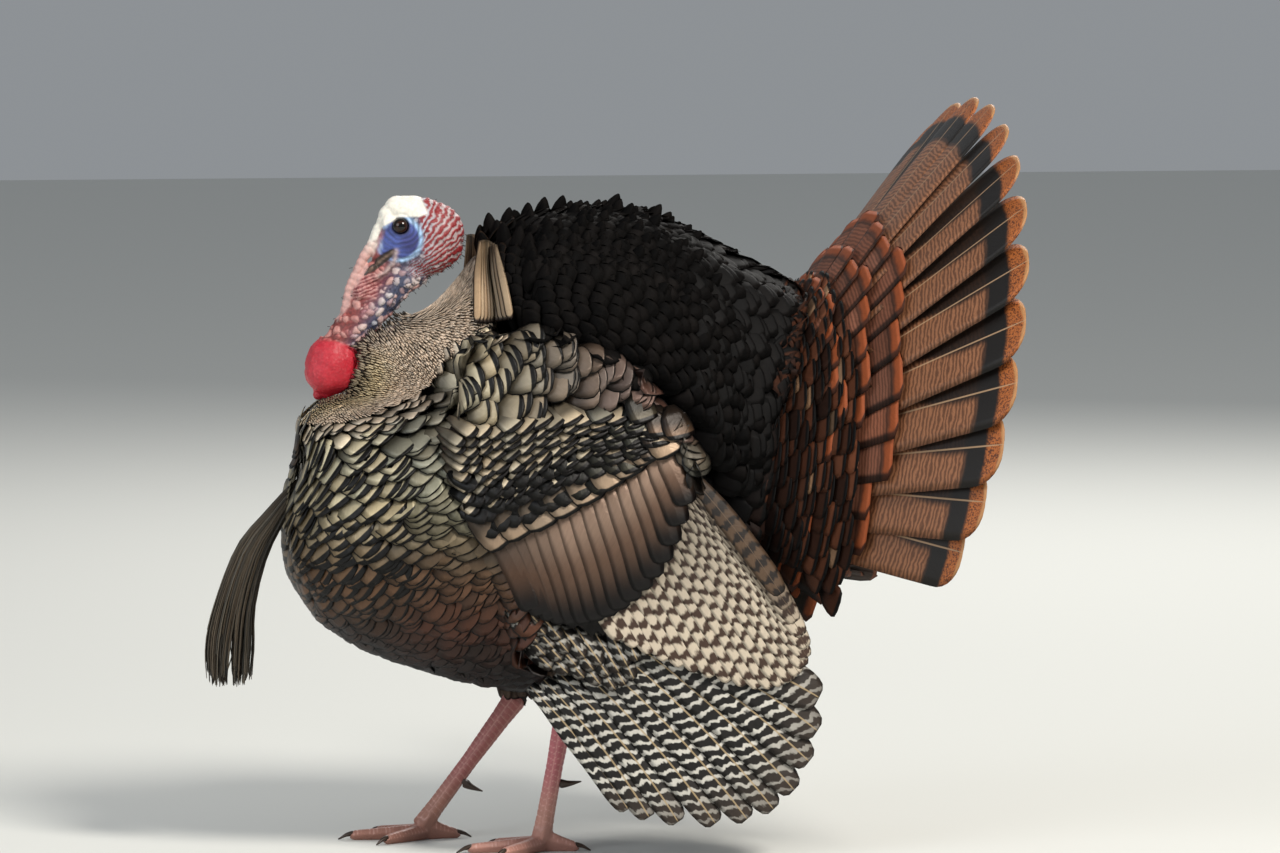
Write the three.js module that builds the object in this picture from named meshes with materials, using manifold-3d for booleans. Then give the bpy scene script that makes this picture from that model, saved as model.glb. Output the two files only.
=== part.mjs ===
// A wild turkey, an adult male strutting with his tail fanned, life size, as a still model.
//
// Millimetres, +Z up. The bird faces -X and its left side is towards -Y. It is laid out around
// a place on the floor under its back, and at the end it is centred on its own box.
//
// Each piece is a closed solid of its true outline, feathers included. Soft pieces are lofts:
// smooth bodies through a few sections. Wings and tail feathers are shells between two faces.

import * as THREE from 'three';
import { mergeVertices } from 'three/addons/utils/BufferGeometryUtils.js';
import Module from 'manifold-3d';

const wasm = await Module();
wasm.setup();

// ---- Driving dimensions ----------------------------------------------------------------

const clearance = 0.3;          // gap between pieces that touch

const eye = { radius: 9, place: [-169, 15, 654] };

const tail = {
  feathers: 18,
  apex: [129, 0, 388],          // where the shafts would meet, inside the rump
  droop: 4.5,                   // degrees that the axis of the fan points below level
  turn: 5.7,                    // degrees that it points to the bird's right of straight back
  flare: 55.2,                  // degrees between that axis and each shaft
  length: 509,                  // from the apex to the tip of the middle feathers
  shortening: 0.21,             // share of the length lost a quarter turn from the top
  first: -70.5,                 // degrees round the fan from its top to the rightmost shaft
  step: 9.86,                   // degrees from one shaft to the next
  root: 110,                    // from the apex to where the vane begins
  halfWidth: 33,                // of a vane at its widest
  shaft: 3,                     // thickness along the shaft
  edge: 0.9,                    // thickness at the rim of the vane
};
const coverts = {
  share: 0.67,                  // of the tail feathers' length that the coverts hide
  beyond: 40,                   // degrees that they reach past the last tail feathers
  fringe: [290, 185],           // their length there, from the first to the last
  root: 150,                    // from the apex to where they leave the rump
  lift: [26, 6],                // of their outer face from the fan, at root and tip
};

const legs = {
  left: { side: -1, ankle: [-26, -55, 19], hock: [1, -58, 168], thigh: [-4, -66, 236] },
  right: { side: 1, ankle: [-137, 55, 19], hock: [-41, 57, 147], thigh: [-14, 66, 226] },
};
const toes = {                  // angle from straight ahead, towards the outside, and length
  middle: [4, 76],
  inner: [-38, 56],
  outer: [42, 60],
};
const hindToe = 31;
const clawLength = 15;
const spurLength = 27;

// The right wing is held a little further back than the left, turned about its shoulder, and
// is folded a little more.
const shoulder = [-60, 0, 500];
const wingSwing = { left: 0, right: 9 };
const wingFold = { left: 1, right: 0.9 };

// ---- Colours ---------------------------------------------------------------------------

const finish = (color, roughness = 0.8) => ({ color, roughness, metalness: 0 });
const finishes = {
  bareSkin: finish(0xb06a70, 0.6),
  caruncle: finish(0xa8262f, 0.5),
  beak: finish(0x8d7a66, 0.45),
  eye: finish(0x1c120c, 0.1),
  neckFeather: finish(0x8b7c6c),
  breastFeather: finish(0x5a4636, 0.55),
  blackFeather: finish(0x17120f, 0.6),
  wingCovert: finish(0x6d5443, 0.55),
  secondary: finish(0xa79a86),
  primary: finish(0x4a443e),
  tailFeather: finish(0x7a4a2a),
  tailCovert: finish(0x6a4030),
  beard: finish(0x1d1a18, 0.5),
  leg: finish(0xa0605a, 0.6),
  horn: finish(0x7d6a58, 0.4),
};

// ---- Making solids ---------------------------------------------------------------------

const turkey = new THREE.Group();
const radians = THREE.MathUtils.degToRad;
const mix = THREE.MathUtils.lerp;
const far = 2000;               // larger than the bird, for blocks that cut it

// Adds the largest piece of a solid to the bird, under a name.
function place(name, solid, look) {
  const pieces = solid.decompose().sort((a, b) => b.volume() - a.volume());
  const { vertProperties, triVerts } = pieces[0].getMesh();
  const geometry = new THREE.BufferGeometry();
  geometry.setAttribute('position', new THREE.BufferAttribute(vertProperties, 3));
  geometry.setIndex(new THREE.BufferAttribute(triVerts, 1));
  geometry.computeVertexNormals();
  const mesh = new THREE.Mesh(geometry, new THREE.MeshStandardMaterial(finishes[look]));
  mesh.name = name;
  turkey.add(mesh);
}

// Turns a closed three.js geometry into a solid that can be cut and joined.
function solidOf(geometry) {
  const bare = geometry.clone();
  bare.deleteAttribute('normal');
  bare.deleteAttribute('uv');
  const merged = mergeVertices(bare, 1e-4);
  return new wasm.Manifold(new wasm.Mesh({
    numProp: 3,
    vertProperties: new Float32Array(merged.attributes.position.array),
    triVerts: new Uint32Array(merged.index.array),
  }));
}

// A block from one corner to another.
function block(low, high) {
  const size = high.map((value, axis) => value - low[axis]);
  const middle = high.map((value, axis) => (value + low[axis]) / 2);
  return solidOf(new THREE.BoxGeometry(...size).translate(...middle));
}

// The parts of a solid ahead of a plane across the bird, and behind it.
const ahead = (solid, x) => solid.subtract(block([x, -far, -far], [far, far, far]));
const behind = (solid, x) => solid.subtract(block([-far, -far, -far], [x + clearance, far, far]));

const cutAll = (solid, cutters) => cutters.reduce((left, cutter) => left.subtract(cutter), solid);
const joinAll = (solids) => solids.reduce((joined, solid) => joined.add(solid));

// A closed solid from rings of points: each ring is joined to the next, and the first and the
// last are closed. A flat ring is closed straight across, from its first half to its second.
function skinOver(rings, flat = false) {
  const sides = rings[0].length;
  const places = rings.flat();
  const faces = [];
  const four = (a, b, c, d) => faces.push(a, b, c, a, c, d);
  for (let ring = 0; ring + 1 < rings.length; ring += 1) {
    for (let side = 0; side < sides; side += 1) {
      const a = ring * sides + side;
      const b = ring * sides + (side + 1) % sides;
      four(a, b, b + sides, a + sides);
    }
  }
  for (const [ring, forward] of [[0, false], [rings.length - 1, true]]) {
    const start = ring * sides;
    if (flat) {
      for (let side = 0; side + 1 < sides / 2; side += 1) {
        const near = start + side;
        const over = start + sides - 1 - side;
        const close = [near, near + 1, over - 1, over];
        four(...(forward ? close : close.toReversed()));
      }
    } else {
      const middle = new THREE.Vector3();
      rings[ring].forEach((point) => middle.addScaledVector(point, 1 / sides));
      const hub = places.push(middle) - 1;
      for (let side = 0; side < sides; side += 1) {
        const pair = [start + side, start + (side + 1) % sides];
        faces.push(...(forward ? pair : pair.toReversed()), hub);
      }
    }
  }
  const build = (order) => {
    const geometry = new THREE.BufferGeometry().setFromPoints(places);
    geometry.setIndex(order);
    return solidOf(geometry);
  };
  const solid = build(faces);
  return solid.volume() > 0 ? solid : build(faces.toReversed());
}

// A smooth body along a line of places. Each section is an oval square to the line, with its
// half width across the bird (or along `side`) and its half heights above and below the line.
// `ends` gives how far the round ends reach past the line. `facing` holds every section square
// to one direction, the way that the line runs. `cleft` is the share of the depth lost to a
// groove along the underside, `sole` puts a flat of each section underneath, and `grow` makes
// the body a little larger.
function loft(shape, grow = 0) {
  const { line, girth, ends, rings, sides } = shape;
  const { side = [0, 1, 0], facing, cleft = 0, sole = false } = shape;
  const spine = new THREE.CatmullRomCurve3(line.map((point) => new THREE.Vector3(...point)));
  const sizes = new THREE.CatmullRomCurve3(girth.map((size) => new THREE.Vector3(...size)));
  const across = new THREE.Vector3(...side);
  const heading = (t) => (facing ? new THREE.Vector3(...facing) : spine.getTangent(t));
  const turnUp = Math.sign(heading(0).cross(across).z);
  const section = (t, share, reach) => {
    const along = heading(t);
    const wide = across.clone().addScaledVector(along, -across.dot(along)).normalize();
    const high = along.clone().cross(wide).multiplyScalar(turnUp);
    const centre = spine.getPoint(t).addScaledVector(along, reach);
    const size = sizes.getPoint(t);
    return Array.from({ length: sides }, (_, index) => {
      const angle = (index + (sole ? 0.5 : 0)) / sides * 2 * Math.PI - Math.PI / 2;
      const depth = Math.sin(angle) > 0 ? size.y : size.z;
      const groove = index === 0 ? 1 - cleft : 1;
      return centre.clone()
        .addScaledVector(wide, Math.cos(angle) * (size.x * share + grow))
        .addScaledVector(high, Math.sin(angle) * (depth * share + grow) * groove);
    });
  };
  const cap = rings > 6 ? [0.35, 0.78] : [0.6];
  const bulge = (share) => Math.sqrt(1 - share ** 2);
  const before = cap.map((share) => section(0, share, -ends[0] * bulge(share) - grow));
  const after = cap.map((share) => section(1, share, ends[1] * bulge(share) + grow));
  const middle = Array.from({ length: rings }, (_, ring) => section(ring / (rings - 1), 1, 0));
  return skinOver([...before, ...middle, ...after.toReversed()]);
}

// The same loft twice: as it is, and grown by the clearance to cut its neighbours.
const body = (shape) => ({ solid: loft(shape), cutter: loft(shape, clearance) });

// A shell between two faces, each a function of u and v from 0 to 1.
function shell(outer, inner, columns, rows) {
  const rings = Array.from({ length: rows + 1 }, (_, row) => {
    const over = Array.from({ length: columns + 1 }, (_, column) => (
      outer(column / columns, row / rows)));
    const under = Array.from({ length: columns + 1 }, (_, column) => (
      inner(1 - column / columns, row / rows)));
    return [...over, ...under];
  });
  return skinOver(rings, true);
}

// ---- Trunk, neck and throat ------------------------------------------------------------

// The trunk's sections, from breast to vent: x, lowest z, highest z and half width.
const trunkSections = [
  [-278, 274, 404, 76], [-257, 240, 438, 105], [-220, 213, 469, 128], [-176, 194, 480, 142],
  [-117, 175, 496, 150], [-59, 161, 516, 152], [0, 158, 530, 150], [59, 166, 536, 144],
  [117, 188, 526, 128], [165, 222, 496, 102], [198, 264, 452, 70],
];
const trunk = body({
  line: trunkSections.map(([x, low, high]) => [x, 0, (low + high) / 2]),
  girth: trunkSections.map(([, low, high, half]) => [half, (high - low) / 2, (high - low) / 2]),
  ends: [12, 24],
  rings: 11,
  sides: 18,
  facing: [1, 0, 0],
  cleft: 0.07,
});
const breastEnd = -60;          // where the breast is parted from the belly

const neck = body({
  line: [[-208, 0, 506], [-181, 0, 517], [-146, 0, 517], [-112, 0, 527], [-80, 0, 548]],
  girth: [[25, 25, 24], [34, 37, 38], [46, 44, 48], [58, 66, 64], [70, 88, 86]],
  ends: [8, 10],
  rings: 6,
  sides: 14,
  facing: [1, 0, 0],
});
const throat = body({
  line: [[-147, 0, 610], [-169, 0, 598], [-194, 0, 572], [-218, 0, 547], [-229, 0, 534]],
  girth: [[15, 14, 18], [17, 15, 20], [18, 17, 21], [18, 21, 20], [17, 20, 18]],
  ends: [6, 6],
  rings: 6,
  sides: 10,
});
const wattle = body({
  line: [[-236, 0, 534], [-240, 0, 520], [-242, 0, 504], [-243, 0, 490], [-247, 0, 478]],
  girth: [[17, 16, 15], [25, 26, 25], [26, 28, 27], [19, 21, 21], [7, 8, 7]],
  ends: [7, 6],
  rings: 6,
  sides: 12,
});

// ---- Head ------------------------------------------------------------------------------

const head = body({
  line: [
    [-111, 0, 634], [-125, 0, 635], [-144, 0, 639], [-162, 0, 641], [-180, 0, 635], [-193, 0, 624],
  ],
  girth: [[17, 21, 20], [22, 34, 31], [24, 43, 39], [23, 42, 38], [16, 29, 30], [10, 15, 19]],
  ends: [9, 5],
  rings: 7,
  sides: 12,
  facing: [-1, 0, 0],
});
const bill = body({
  line: [[-186, 0, 617], [-198, 0, 607], [-208, 0, 597], [-214, 0, 589]],
  girth: [[9, 8, 8], [7.5, 7.5, 7], [5.5, 5.5, 5], [2.6, 2.6, 2.6]],
  ends: [4, 2],
  rings: 5,
  sides: 10,
});
const snood = body({
  line: [[-189, 0, 643], [-204, 0, 628], [-217, 0, 606], [-225, 0, 583], [-227, 0, 558]],
  girth: [[6, 5, 5], [5.5, 5, 5], [5, 4.5, 4.5], [4.5, 4.5, 4.5], [3, 3.5, 3.5]],
  ends: [5, 4],
  rings: 6,
  sides: 8,
});

// The mouth line slants down to the tip of the bill and parts its two halves.
const mouthLine = { slope: -44, place: [-182, 0, 615] };
function halfBill(up) {
  const side = new THREE.BoxGeometry(far, far, far);
  side.translate(0, 0, up * (far + clearance) / 2);
  side.rotateY(radians(mouthLine.slope)).translate(...mouthLine.place);
  return bill.solid.intersect(solidOf(side));
}

function eyeBall(side, grow = 0) {
  const [x, y, z] = eye.place;
  return solidOf(new THREE.SphereGeometry(eye.radius + grow, 8, 6).translate(x, side * y, z));
}

place('eye_left', eyeBall(-1), 'eye');
place('eye_right', eyeBall(1), 'eye');
place('head', cutAll(head.solid, [eyeBall(-1, clearance), eyeBall(1, clearance)]), 'bareSkin');
place('beak_upper', cutAll(halfBill(1), [head.cutter, snood.cutter, throat.cutter]), 'beak');
place('beak_lower', cutAll(halfBill(-1), [head.cutter, snood.cutter, throat.cutter]), 'beak');
place('snood', cutAll(snood.solid, [head.cutter, throat.cutter]), 'bareSkin');
place('neck_upper', cutAll(throat.solid, [head.cutter, neck.cutter, wattle.cutter]), 'bareSkin');
place('caruncles', cutAll(wattle.solid, [neck.cutter]), 'caruncle');
place('neck_lower', cutAll(neck.solid, [trunk.cutter]), 'neckFeather');

// ---- Thighs ----------------------------------------------------------------------------

const alongLeg = ({ ankle, hock }, t) => ankle.map((value, axis) => mix(value, hock[axis], t));
const thighs = Object.fromEntries(Object.entries(legs).map(([name, leg]) => [name, body({
  line: [
    leg.thigh,
    leg.thigh.map((value, axis) => mix(value, leg.hock[axis], 0.55)),
    alongLeg(leg, 0.97),
  ],
  girth: [[34, 42, 42], [25, 31, 31], [13, 16, 16]],
  ends: [14, 5],
  rings: 4,
  sides: 10,
})]));
const thighCutters = Object.values(thighs).map(({ cutter }) => cutter);
place('breast', cutAll(ahead(trunk.solid, breastEnd), thighCutters), 'breastFeather');
place('trunk', cutAll(behind(trunk.solid, breastEnd), thighCutters), 'blackFeather');

// The beard hangs from the middle of the breast and swings forward.
const beard = loft({
  line: [
    [-276, 0, 384], [-299, 0, 352], [-326, 0, 312], [-343, 0, 258], [-349, 0, 212], [-350, 0, 176],
  ],
  girth: [[12, 9, 9], [14, 17, 17], [15, 25, 25], [14, 30, 30], [11, 28, 28], [6, 15, 15]],
  ends: [6, 6],
  rings: 7,
  sides: 8,
});
place('beard', cutAll(beard, [trunk.cutter]), 'beard');

// ---- Wings -----------------------------------------------------------------------------

// Half the width of the bird over a drooping wing, at any place seen from the side.
const flank = (x, z) => 172 - 0.0006 * (x - 85) ** 2 - 0.001 * Math.max(z - 330, 0) ** 2;

// Each panel lies on the flank between a front and a back line, given as x, z places from its
// top to its bottom, and is `thick` at the front and `thin` at the back.
const wing = {
  arm: {
    front: [[-101, 545], [-122, 497], [-120, 447], [-99, 392], [-83, 333], [-71, 266], [-60, 196]],
    back: [[-4, 560], [78, 503], [124, 438], [134, 378], [138, 318], [136, 260], [132, 200]],
    thick: 34,
    thin: 12,
    columns: 6,
    rows: 8,
  },
  secondaries: {
    front: [[124, 430], [135, 378], [139, 318], [137, 260], [133, 202]],
    back: [[168, 398], [212, 376], [237, 320], [241, 262], [235, 206]],
    thick: 11,
    thin: 6,
    columns: 3,
    rows: 5,
  },
  primaries: {
    front: [[-60, 195], [-38, 150], [-8, 106], [22, 76], [50, 60]],
    back: [[235, 205], [254, 174], [247, 118], [225, 78], [198, 54]],
    thick: 9,
    thin: 5,
    columns: 8,
    rows: 4,
  },
};

// A panel on the bird's right side, and the same panel grown to cut its neighbours.
function wingPanel({ front, back, thick, thin, columns, rows }, grow = 0) {
  const [leading, trailing] = [front, back].map((line) => new THREE.CatmullRomCurve3(
    line.map(([x, z]) => new THREE.Vector3(x, 0, z)),
  ));
  const face = (inward) => (u, v) => {
    const [start, end] = [leading.getPoint(v), trailing.getPoint(v)];
    const spot = start.clone().lerp(end, u);
    spot.addScaledVector(end.sub(start).normalize(), grow * (2 * u - 1));
    spot.z -= grow * (2 * v - 1);
    const depth = mix(thick, thin, u) * (1 - 0.6 * Math.abs(2 * v - 1) ** 6);
    spot.y = flank(spot.x, spot.z) + (inward ? -depth - grow : grow);
    return spot;
  };
  return shell(face(false), face(true), columns, rows);
}

const armCutters = [];
const secondaryCutters = [];
for (const [name, side] of [['left', -1], ['right', 1]]) {
  const pose = (solid) => solid
    .translate(shoulder.map((value) => -value))
    .scale([wingFold[name], side, 1])
    .rotate([0, -wingSwing[name], 0])
    .translate(shoulder);
  const [arm, middle, tip] = Object.values(wing).map((panel) => pose(wingPanel(panel)));
  const cutters = Object.values(wing).map((panel) => pose(wingPanel(panel, clearance)));
  place(`wing_${name}`, cutAll(arm, [trunk.cutter, neck.cutter]), 'wingCovert');
  place(`wing_${name}_secondaries`, cutAll(middle, [cutters[0], trunk.cutter]), 'secondary');
  place(`wing_${name}_primaries`, cutAll(tip, [cutters[0], cutters[1], trunk.cutter]), 'primary');
  armCutters.push(cutters[0]);
  secondaryCutters.push(cutters[1]);
}

// ---- Tail ------------------------------------------------------------------------------

const turned = (x, y, z) => new THREE.Vector3(x, y, z)
  .applyAxisAngle(new THREE.Vector3(0, 0, 1), radians(tail.turn));
const fan = {
  axis: turned(Math.cos(radians(tail.droop)), 0, -Math.sin(radians(tail.droop))),
  up: turned(Math.sin(radians(tail.droop)), 0, Math.cos(radians(tail.droop))),
  left: turned(0, -1, 0),
  last: tail.first + (tail.feathers - 1) * tail.step,
};

// A place on the fan: r from the apex along a shaft, at an angle in degrees round the fan from
// its top towards the bird's left, c across the shaft, and raised from the fan's front face.
function onFan(r, angle, c, raise) {
  const [flare, round] = [radians(tail.flare), radians(angle)];
  const outward = fan.up.clone().multiplyScalar(Math.cos(round))
    .addScaledVector(fan.left, Math.sin(round));
  const along = fan.left.clone().multiplyScalar(Math.cos(round))
    .addScaledVector(fan.up, -Math.sin(round));
  return new THREE.Vector3(...tail.apex)
    .addScaledVector(fan.axis, r * Math.cos(flare) - raise * Math.sin(flare))
    .addScaledVector(outward, r * Math.sin(flare) + raise * Math.cos(flare))
    .addScaledVector(along, c);
}
const featherReach = (angle) => tail.length * (1 - tail.shortening * (angle / 90) ** 2);

// One tail feather: a flat vane with a round tip, thickest along its shaft, and narrow enough
// to clear its neighbours where the fan closes in.
function tailFeather(angle) {
  const spread = Math.sin(radians(tail.flare)) * Math.tan(radians(tail.step / 2));
  const face = (sign) => (u, v) => {
    const r = mix(tail.root, featherReach(angle), v);
    const across = 2 * u - 1;
    const tip = Math.sqrt(1 - (Math.max(0, v - 0.8) / 0.21) ** 2);
    const wide = Math.min(r * spread - clearance, tail.halfWidth) * tip;
    const thick = mix(tail.shaft * (1 - 0.5 * v), tail.edge, Math.abs(across));
    return onFan(r, angle, across * wide, sign * thick / 2);
  };
  return shell(face(1), face(-1), 2, 5);
}

// The space behind the fan, between its face and its axis.
function behindFan(raise) {
  const columns = 10;
  const rings = [10, 640].map((r) => {
    const arc = Array.from({ length: columns + 1 }, (_, column) => (
      onFan(r, mix(tail.first - 6, fan.last + 6, column / columns), 0, raise)));
    const hub = new THREE.Vector3(...tail.apex)
      .addScaledVector(fan.axis, r * Math.cos(radians(tail.flare)));
    return [...arc, hub];
  });
  return skinOver(rings);
}

// The upper tail coverts lie on the front face of the fan and reach past it on both sides.
function tailCoverts(grow = 0) {
  const rise = 4.5;             // clear of the tail feathers
  const span = [tail.first - coverts.beyond - grow / 2, fan.last + coverts.beyond + grow / 2];
  const face = (raised) => (u, v) => {
    const angle = mix(...span, u);
    const past = Math.max(tail.first - angle, angle - fan.last, 0) / coverts.beyond;
    const length = past > 0 ? mix(...coverts.fringe, past) : coverts.share * featherReach(angle);
    const r = mix(coverts.root - grow, length + grow, v);
    const raise = raised ? mix(...coverts.lift, v) + rise + grow : rise - grow;
    return onFan(r, angle, 0, raise);
  };
  return shell(face(true), face(false), 17, 2);
}

const undertail = body({
  line: [[205, 0, 318], [245, 5, 306], [285, 10, 298], [318, 14, 292]],
  girth: [[60, 34, 34], [84, 26, 30], [100, 16, 20], [104, 7, 9]],
  ends: [8, 6],
  rings: 4,
  sides: 12,
});

for (let number = 0; number < tail.feathers; number += 1) {
  const name = `tail_feather_${String(number + 1).padStart(2, '0')}`;
  const feather = tailFeather(tail.first + number * tail.step);
  place(name, cutAll(feather, [trunk.cutter, undertail.cutter]), 'tailFeather');
}
const covertCutter = tailCoverts(clearance);
place('tail_coverts', cutAll(tailCoverts(), [trunk.cutter, ...secondaryCutters]), 'tailCovert');
place('undertail_coverts', cutAll(undertail.solid, [trunk.cutter, covertCutter]), 'tailCovert');

// ---- Back ------------------------------------------------------------------------------

// The raised feathers of the back, from the collar to the rump: x, lowest z, highest z and
// half width.
const backSections = [
  [-84, 548, 640, 50], [-64, 500, 655, 88], [-24, 462, 668, 114], [30, 440, 673, 128],
  [85, 400, 670, 134], [138, 300, 648, 138], [188, 235, 622, 138], [232, 226, 600, 128],
  [262, 250, 582, 102],
];
const plumage = loft({
  line: backSections.map(([x, low, high]) => [x, 0, (low + high) / 2]),
  girth: backSections.map(([, low, high, half]) => [half, (high - low) / 2, (high - low) / 2]),
  ends: [5, 24],
  rings: 9,
  sides: 12,
  facing: [1, 0, 0],
});
const mantleEnd = 95;           // where the black mantle is parted from the brown rump
place('mantle', cutAll(ahead(plumage, mantleEnd), [
  trunk.cutter, neck.cutter, ...armCutters,
]), 'blackFeather');
place('rump', cutAll(behind(plumage, mantleEnd), [
  trunk.cutter, ...armCutters, covertCutter, undertail.cutter, behindFan(8),
]), 'blackFeather');

// ---- Legs and feet ---------------------------------------------------------------------

// One toe with its flat sole on the floor, from the middle of the foot, and the claw at its end.
const soleDepth = 1 / Math.cos(Math.PI / 6);    // of a six-sided section, over its flat's
function toe([x, y], angle, length, startHeight, thick) {
  const way = new THREE.Vector3(-Math.cos(radians(angle)), Math.sin(radians(angle)), 0);
  const at = (distance, z) => [x + way.x * distance, y + way.y * distance, z];
  const shape = {
    side: [-way.y, way.x, 0],
    facing: way.toArray(),
    sides: 6,
    sole: true,
  };
  const heights = [startHeight, mix(startHeight, 6, 0.6), 5.5];
  const solid = loft({
    ...shape,
    line: heights.map((z, index) => at(length * index / 2, z)),
    girth: heights.map((z, index) => [thick * (1 - 0.15 * index), z * 0.9, z * soleDepth]),
    ends: [7, 5],
    rings: 3,
  });
  const claw = body({
    ...shape,
    line: [at(length, 7), at(length + clawLength * 0.5, 5.5), at(length + clawLength, 1.2)],
    girth: [[3.4, 3.4, 3.4], [2.6, 2.6, 2.6], [0.9, 0.9, 1.2 * soleDepth]],
    ends: [1, 1],
    rings: 3,
  });
  return { solid, claw };
}

for (const [name, leg] of Object.entries(legs)) {
  const { side, ankle, hock } = leg;
  const along = (t) => alongLeg(leg, t);
  const shank = body({
    line: [along(-0.04), along(0.12), along(0.5), along(0.85), along(1)],
    girth: [[10, 11, 11], [8, 9.5, 9.5], [7.5, 9, 9], [9, 11, 11], [10, 13, 13]],
    ends: [3, 9],
    rings: 5,
    sides: 8,
  });
  const heel = along(0.36);
  const square = new THREE.Vector3(hock[2] - ankle[2], 0, ankle[0] - hock[0]).normalize();
  const spurAt = (distance, lift) => [
    heel[0] + square.x * distance,
    heel[1] - side * distance * 0.2,
    heel[2] + square.z * distance + lift,
  ];
  const spur = loft({
    line: [spurAt(4, 0), spurAt(spurLength * 0.6, 0), spurAt(spurLength + 5, 5)],
    girth: [[6.5, 7, 7], [4, 4, 4], [1, 1, 1]],
    ends: [1, 1],
    rings: 3,
    sides: 6,
  });
  const front = Object.entries(toes).map(([which, [angle, length]]) => (
    [which, toe(ankle, side * angle, length, 9.5, 8)]));
  const hind = toe([ankle[0] + 4, ankle[1]], 180 - side * 8, hindToe, 13, 6.5);
  const all = [...front, ['hind', hind]];
  const foot = joinAll(all.map(([, { solid }]) => solid));
  const clawCutters = all.map(([, { claw }]) => claw.cutter);
  place(`foot_${name}`, cutAll(foot, [shank.cutter, ...clawCutters]), 'leg');
  for (const [which, { claw }] of all) {
    place(`claw_${name}_${which}`, claw.solid, 'horn');
  }
  place(`shank_${name}`, cutAll(shank.solid, [trunk.cutter]), 'leg');
  place(`spur_${name}`, cutAll(spur, [shank.cutter]), 'horn');
  place(`thigh_${name}`, cutAll(thighs[name].solid, [shank.cutter]), 'blackFeather');
}

// ---- The whole bird, centred on its box and standing on the floor ------------------------

const box = new THREE.Box3().setFromObject(turkey, true);
const middle = box.getCenter(new THREE.Vector3());
turkey.position.set(-middle.x, -middle.y, -box.min.z);

export default turkey;
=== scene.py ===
"""A strutting wild turkey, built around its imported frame: skin, feathers, bill, eyes and legs.

Everything is in metres, +Z up. The bird faces -X and its left side is towards -Y. Places on
the bird are given in its own millimetres, from a point on the floor under its back.
"""

import heapq
import math
from types import SimpleNamespace

import bmesh
import bpy
import numpy as np
from mathutils import Matrix, Vector, noise
from mathutils.bvhtree import BVHTree


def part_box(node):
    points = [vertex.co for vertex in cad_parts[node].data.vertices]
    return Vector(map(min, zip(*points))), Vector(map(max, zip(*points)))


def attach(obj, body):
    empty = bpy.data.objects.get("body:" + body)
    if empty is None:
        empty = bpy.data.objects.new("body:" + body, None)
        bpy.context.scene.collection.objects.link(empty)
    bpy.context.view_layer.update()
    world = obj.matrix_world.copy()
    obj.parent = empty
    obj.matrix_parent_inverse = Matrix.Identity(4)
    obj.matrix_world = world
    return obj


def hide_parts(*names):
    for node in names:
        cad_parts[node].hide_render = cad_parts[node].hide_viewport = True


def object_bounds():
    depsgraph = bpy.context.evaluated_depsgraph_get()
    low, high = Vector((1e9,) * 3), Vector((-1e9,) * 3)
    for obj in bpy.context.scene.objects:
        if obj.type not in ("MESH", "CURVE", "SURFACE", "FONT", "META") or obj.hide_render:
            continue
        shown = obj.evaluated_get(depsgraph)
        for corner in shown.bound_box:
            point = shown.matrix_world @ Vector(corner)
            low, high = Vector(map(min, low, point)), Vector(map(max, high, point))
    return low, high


bl_info = {
    "name": "Wild Turkey",
    "version": (1, 0, 0),
    "blender": (4, 5, 0),
    "location": "3D View > Sidebar > Turkey",
    "description": "Builds a life-size strutting wild turkey, piece by piece",
    "category": "Add Mesh",
}

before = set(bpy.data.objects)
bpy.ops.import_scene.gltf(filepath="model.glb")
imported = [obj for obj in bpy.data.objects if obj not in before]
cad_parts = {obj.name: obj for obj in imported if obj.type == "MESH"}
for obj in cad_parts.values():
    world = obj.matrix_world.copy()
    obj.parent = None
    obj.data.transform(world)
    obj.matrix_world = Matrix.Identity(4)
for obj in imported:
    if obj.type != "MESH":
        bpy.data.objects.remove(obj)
CAD_BOX = [list(corner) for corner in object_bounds()]
MM = 0.001
GOLDEN = 0.618

# The left eye's middle, from the bird's own origin on the floor under its back.
EYE_FROM_HOME = Vector((-0.169, -0.015, 0.654))


def middle_of(node):
    low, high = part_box(node)
    return (low + high) / 2


HOME = middle_of("eye_left") - EYE_FROM_HOME
HOME_XYZ = np.array(HOME)


def at(x, y, z):
    """A place on the bird, given in its own millimetres."""
    return HOME + Vector((x, y, z)) * MM


def placed(points):
    """Many places on the bird, from its own millimetres."""
    return np.asarray(points, float) * MM + HOME_XYZ


def own_mm(points):
    """The bird's own millimetres, from places in metres."""
    return (np.asarray(points, float) - HOME_XYZ) / MM


def linear(code):
    """A colour's linear values from its six-digit code."""
    parts = [int(code[i:i + 2], 16) / 255 for i in (0, 2, 4)]
    return tuple(p / 12.92 if p <= 0.04045 else ((p + 0.055) / 1.055) ** 2.4 for p in parts)


def rise(low, high, value):
    """A smooth rise from 0 to 1 as the value goes from low to high, or back if high is lower."""
    t = np.clip((np.asarray(value, float) - low) / (high - low), 0, 1)
    return t * t * (3 - 2 * t)


def mix(a, b, t):
    """From a to b by a share t; numbers, colours or arrays of them."""
    a, b = np.asarray(a, float), np.asarray(b, float)
    return a + (b - a) * t


def tint(colours, tones, share):
    """Colours turned into other tones by a share for each of them."""
    return mix(colours, tones, np.asarray(share)[:, None])


def unit(vectors):
    vectors = np.asarray(vectors, float)
    return vectors / np.maximum(np.linalg.norm(vectors, axis=-1, keepdims=True), 1e-12)


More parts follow.
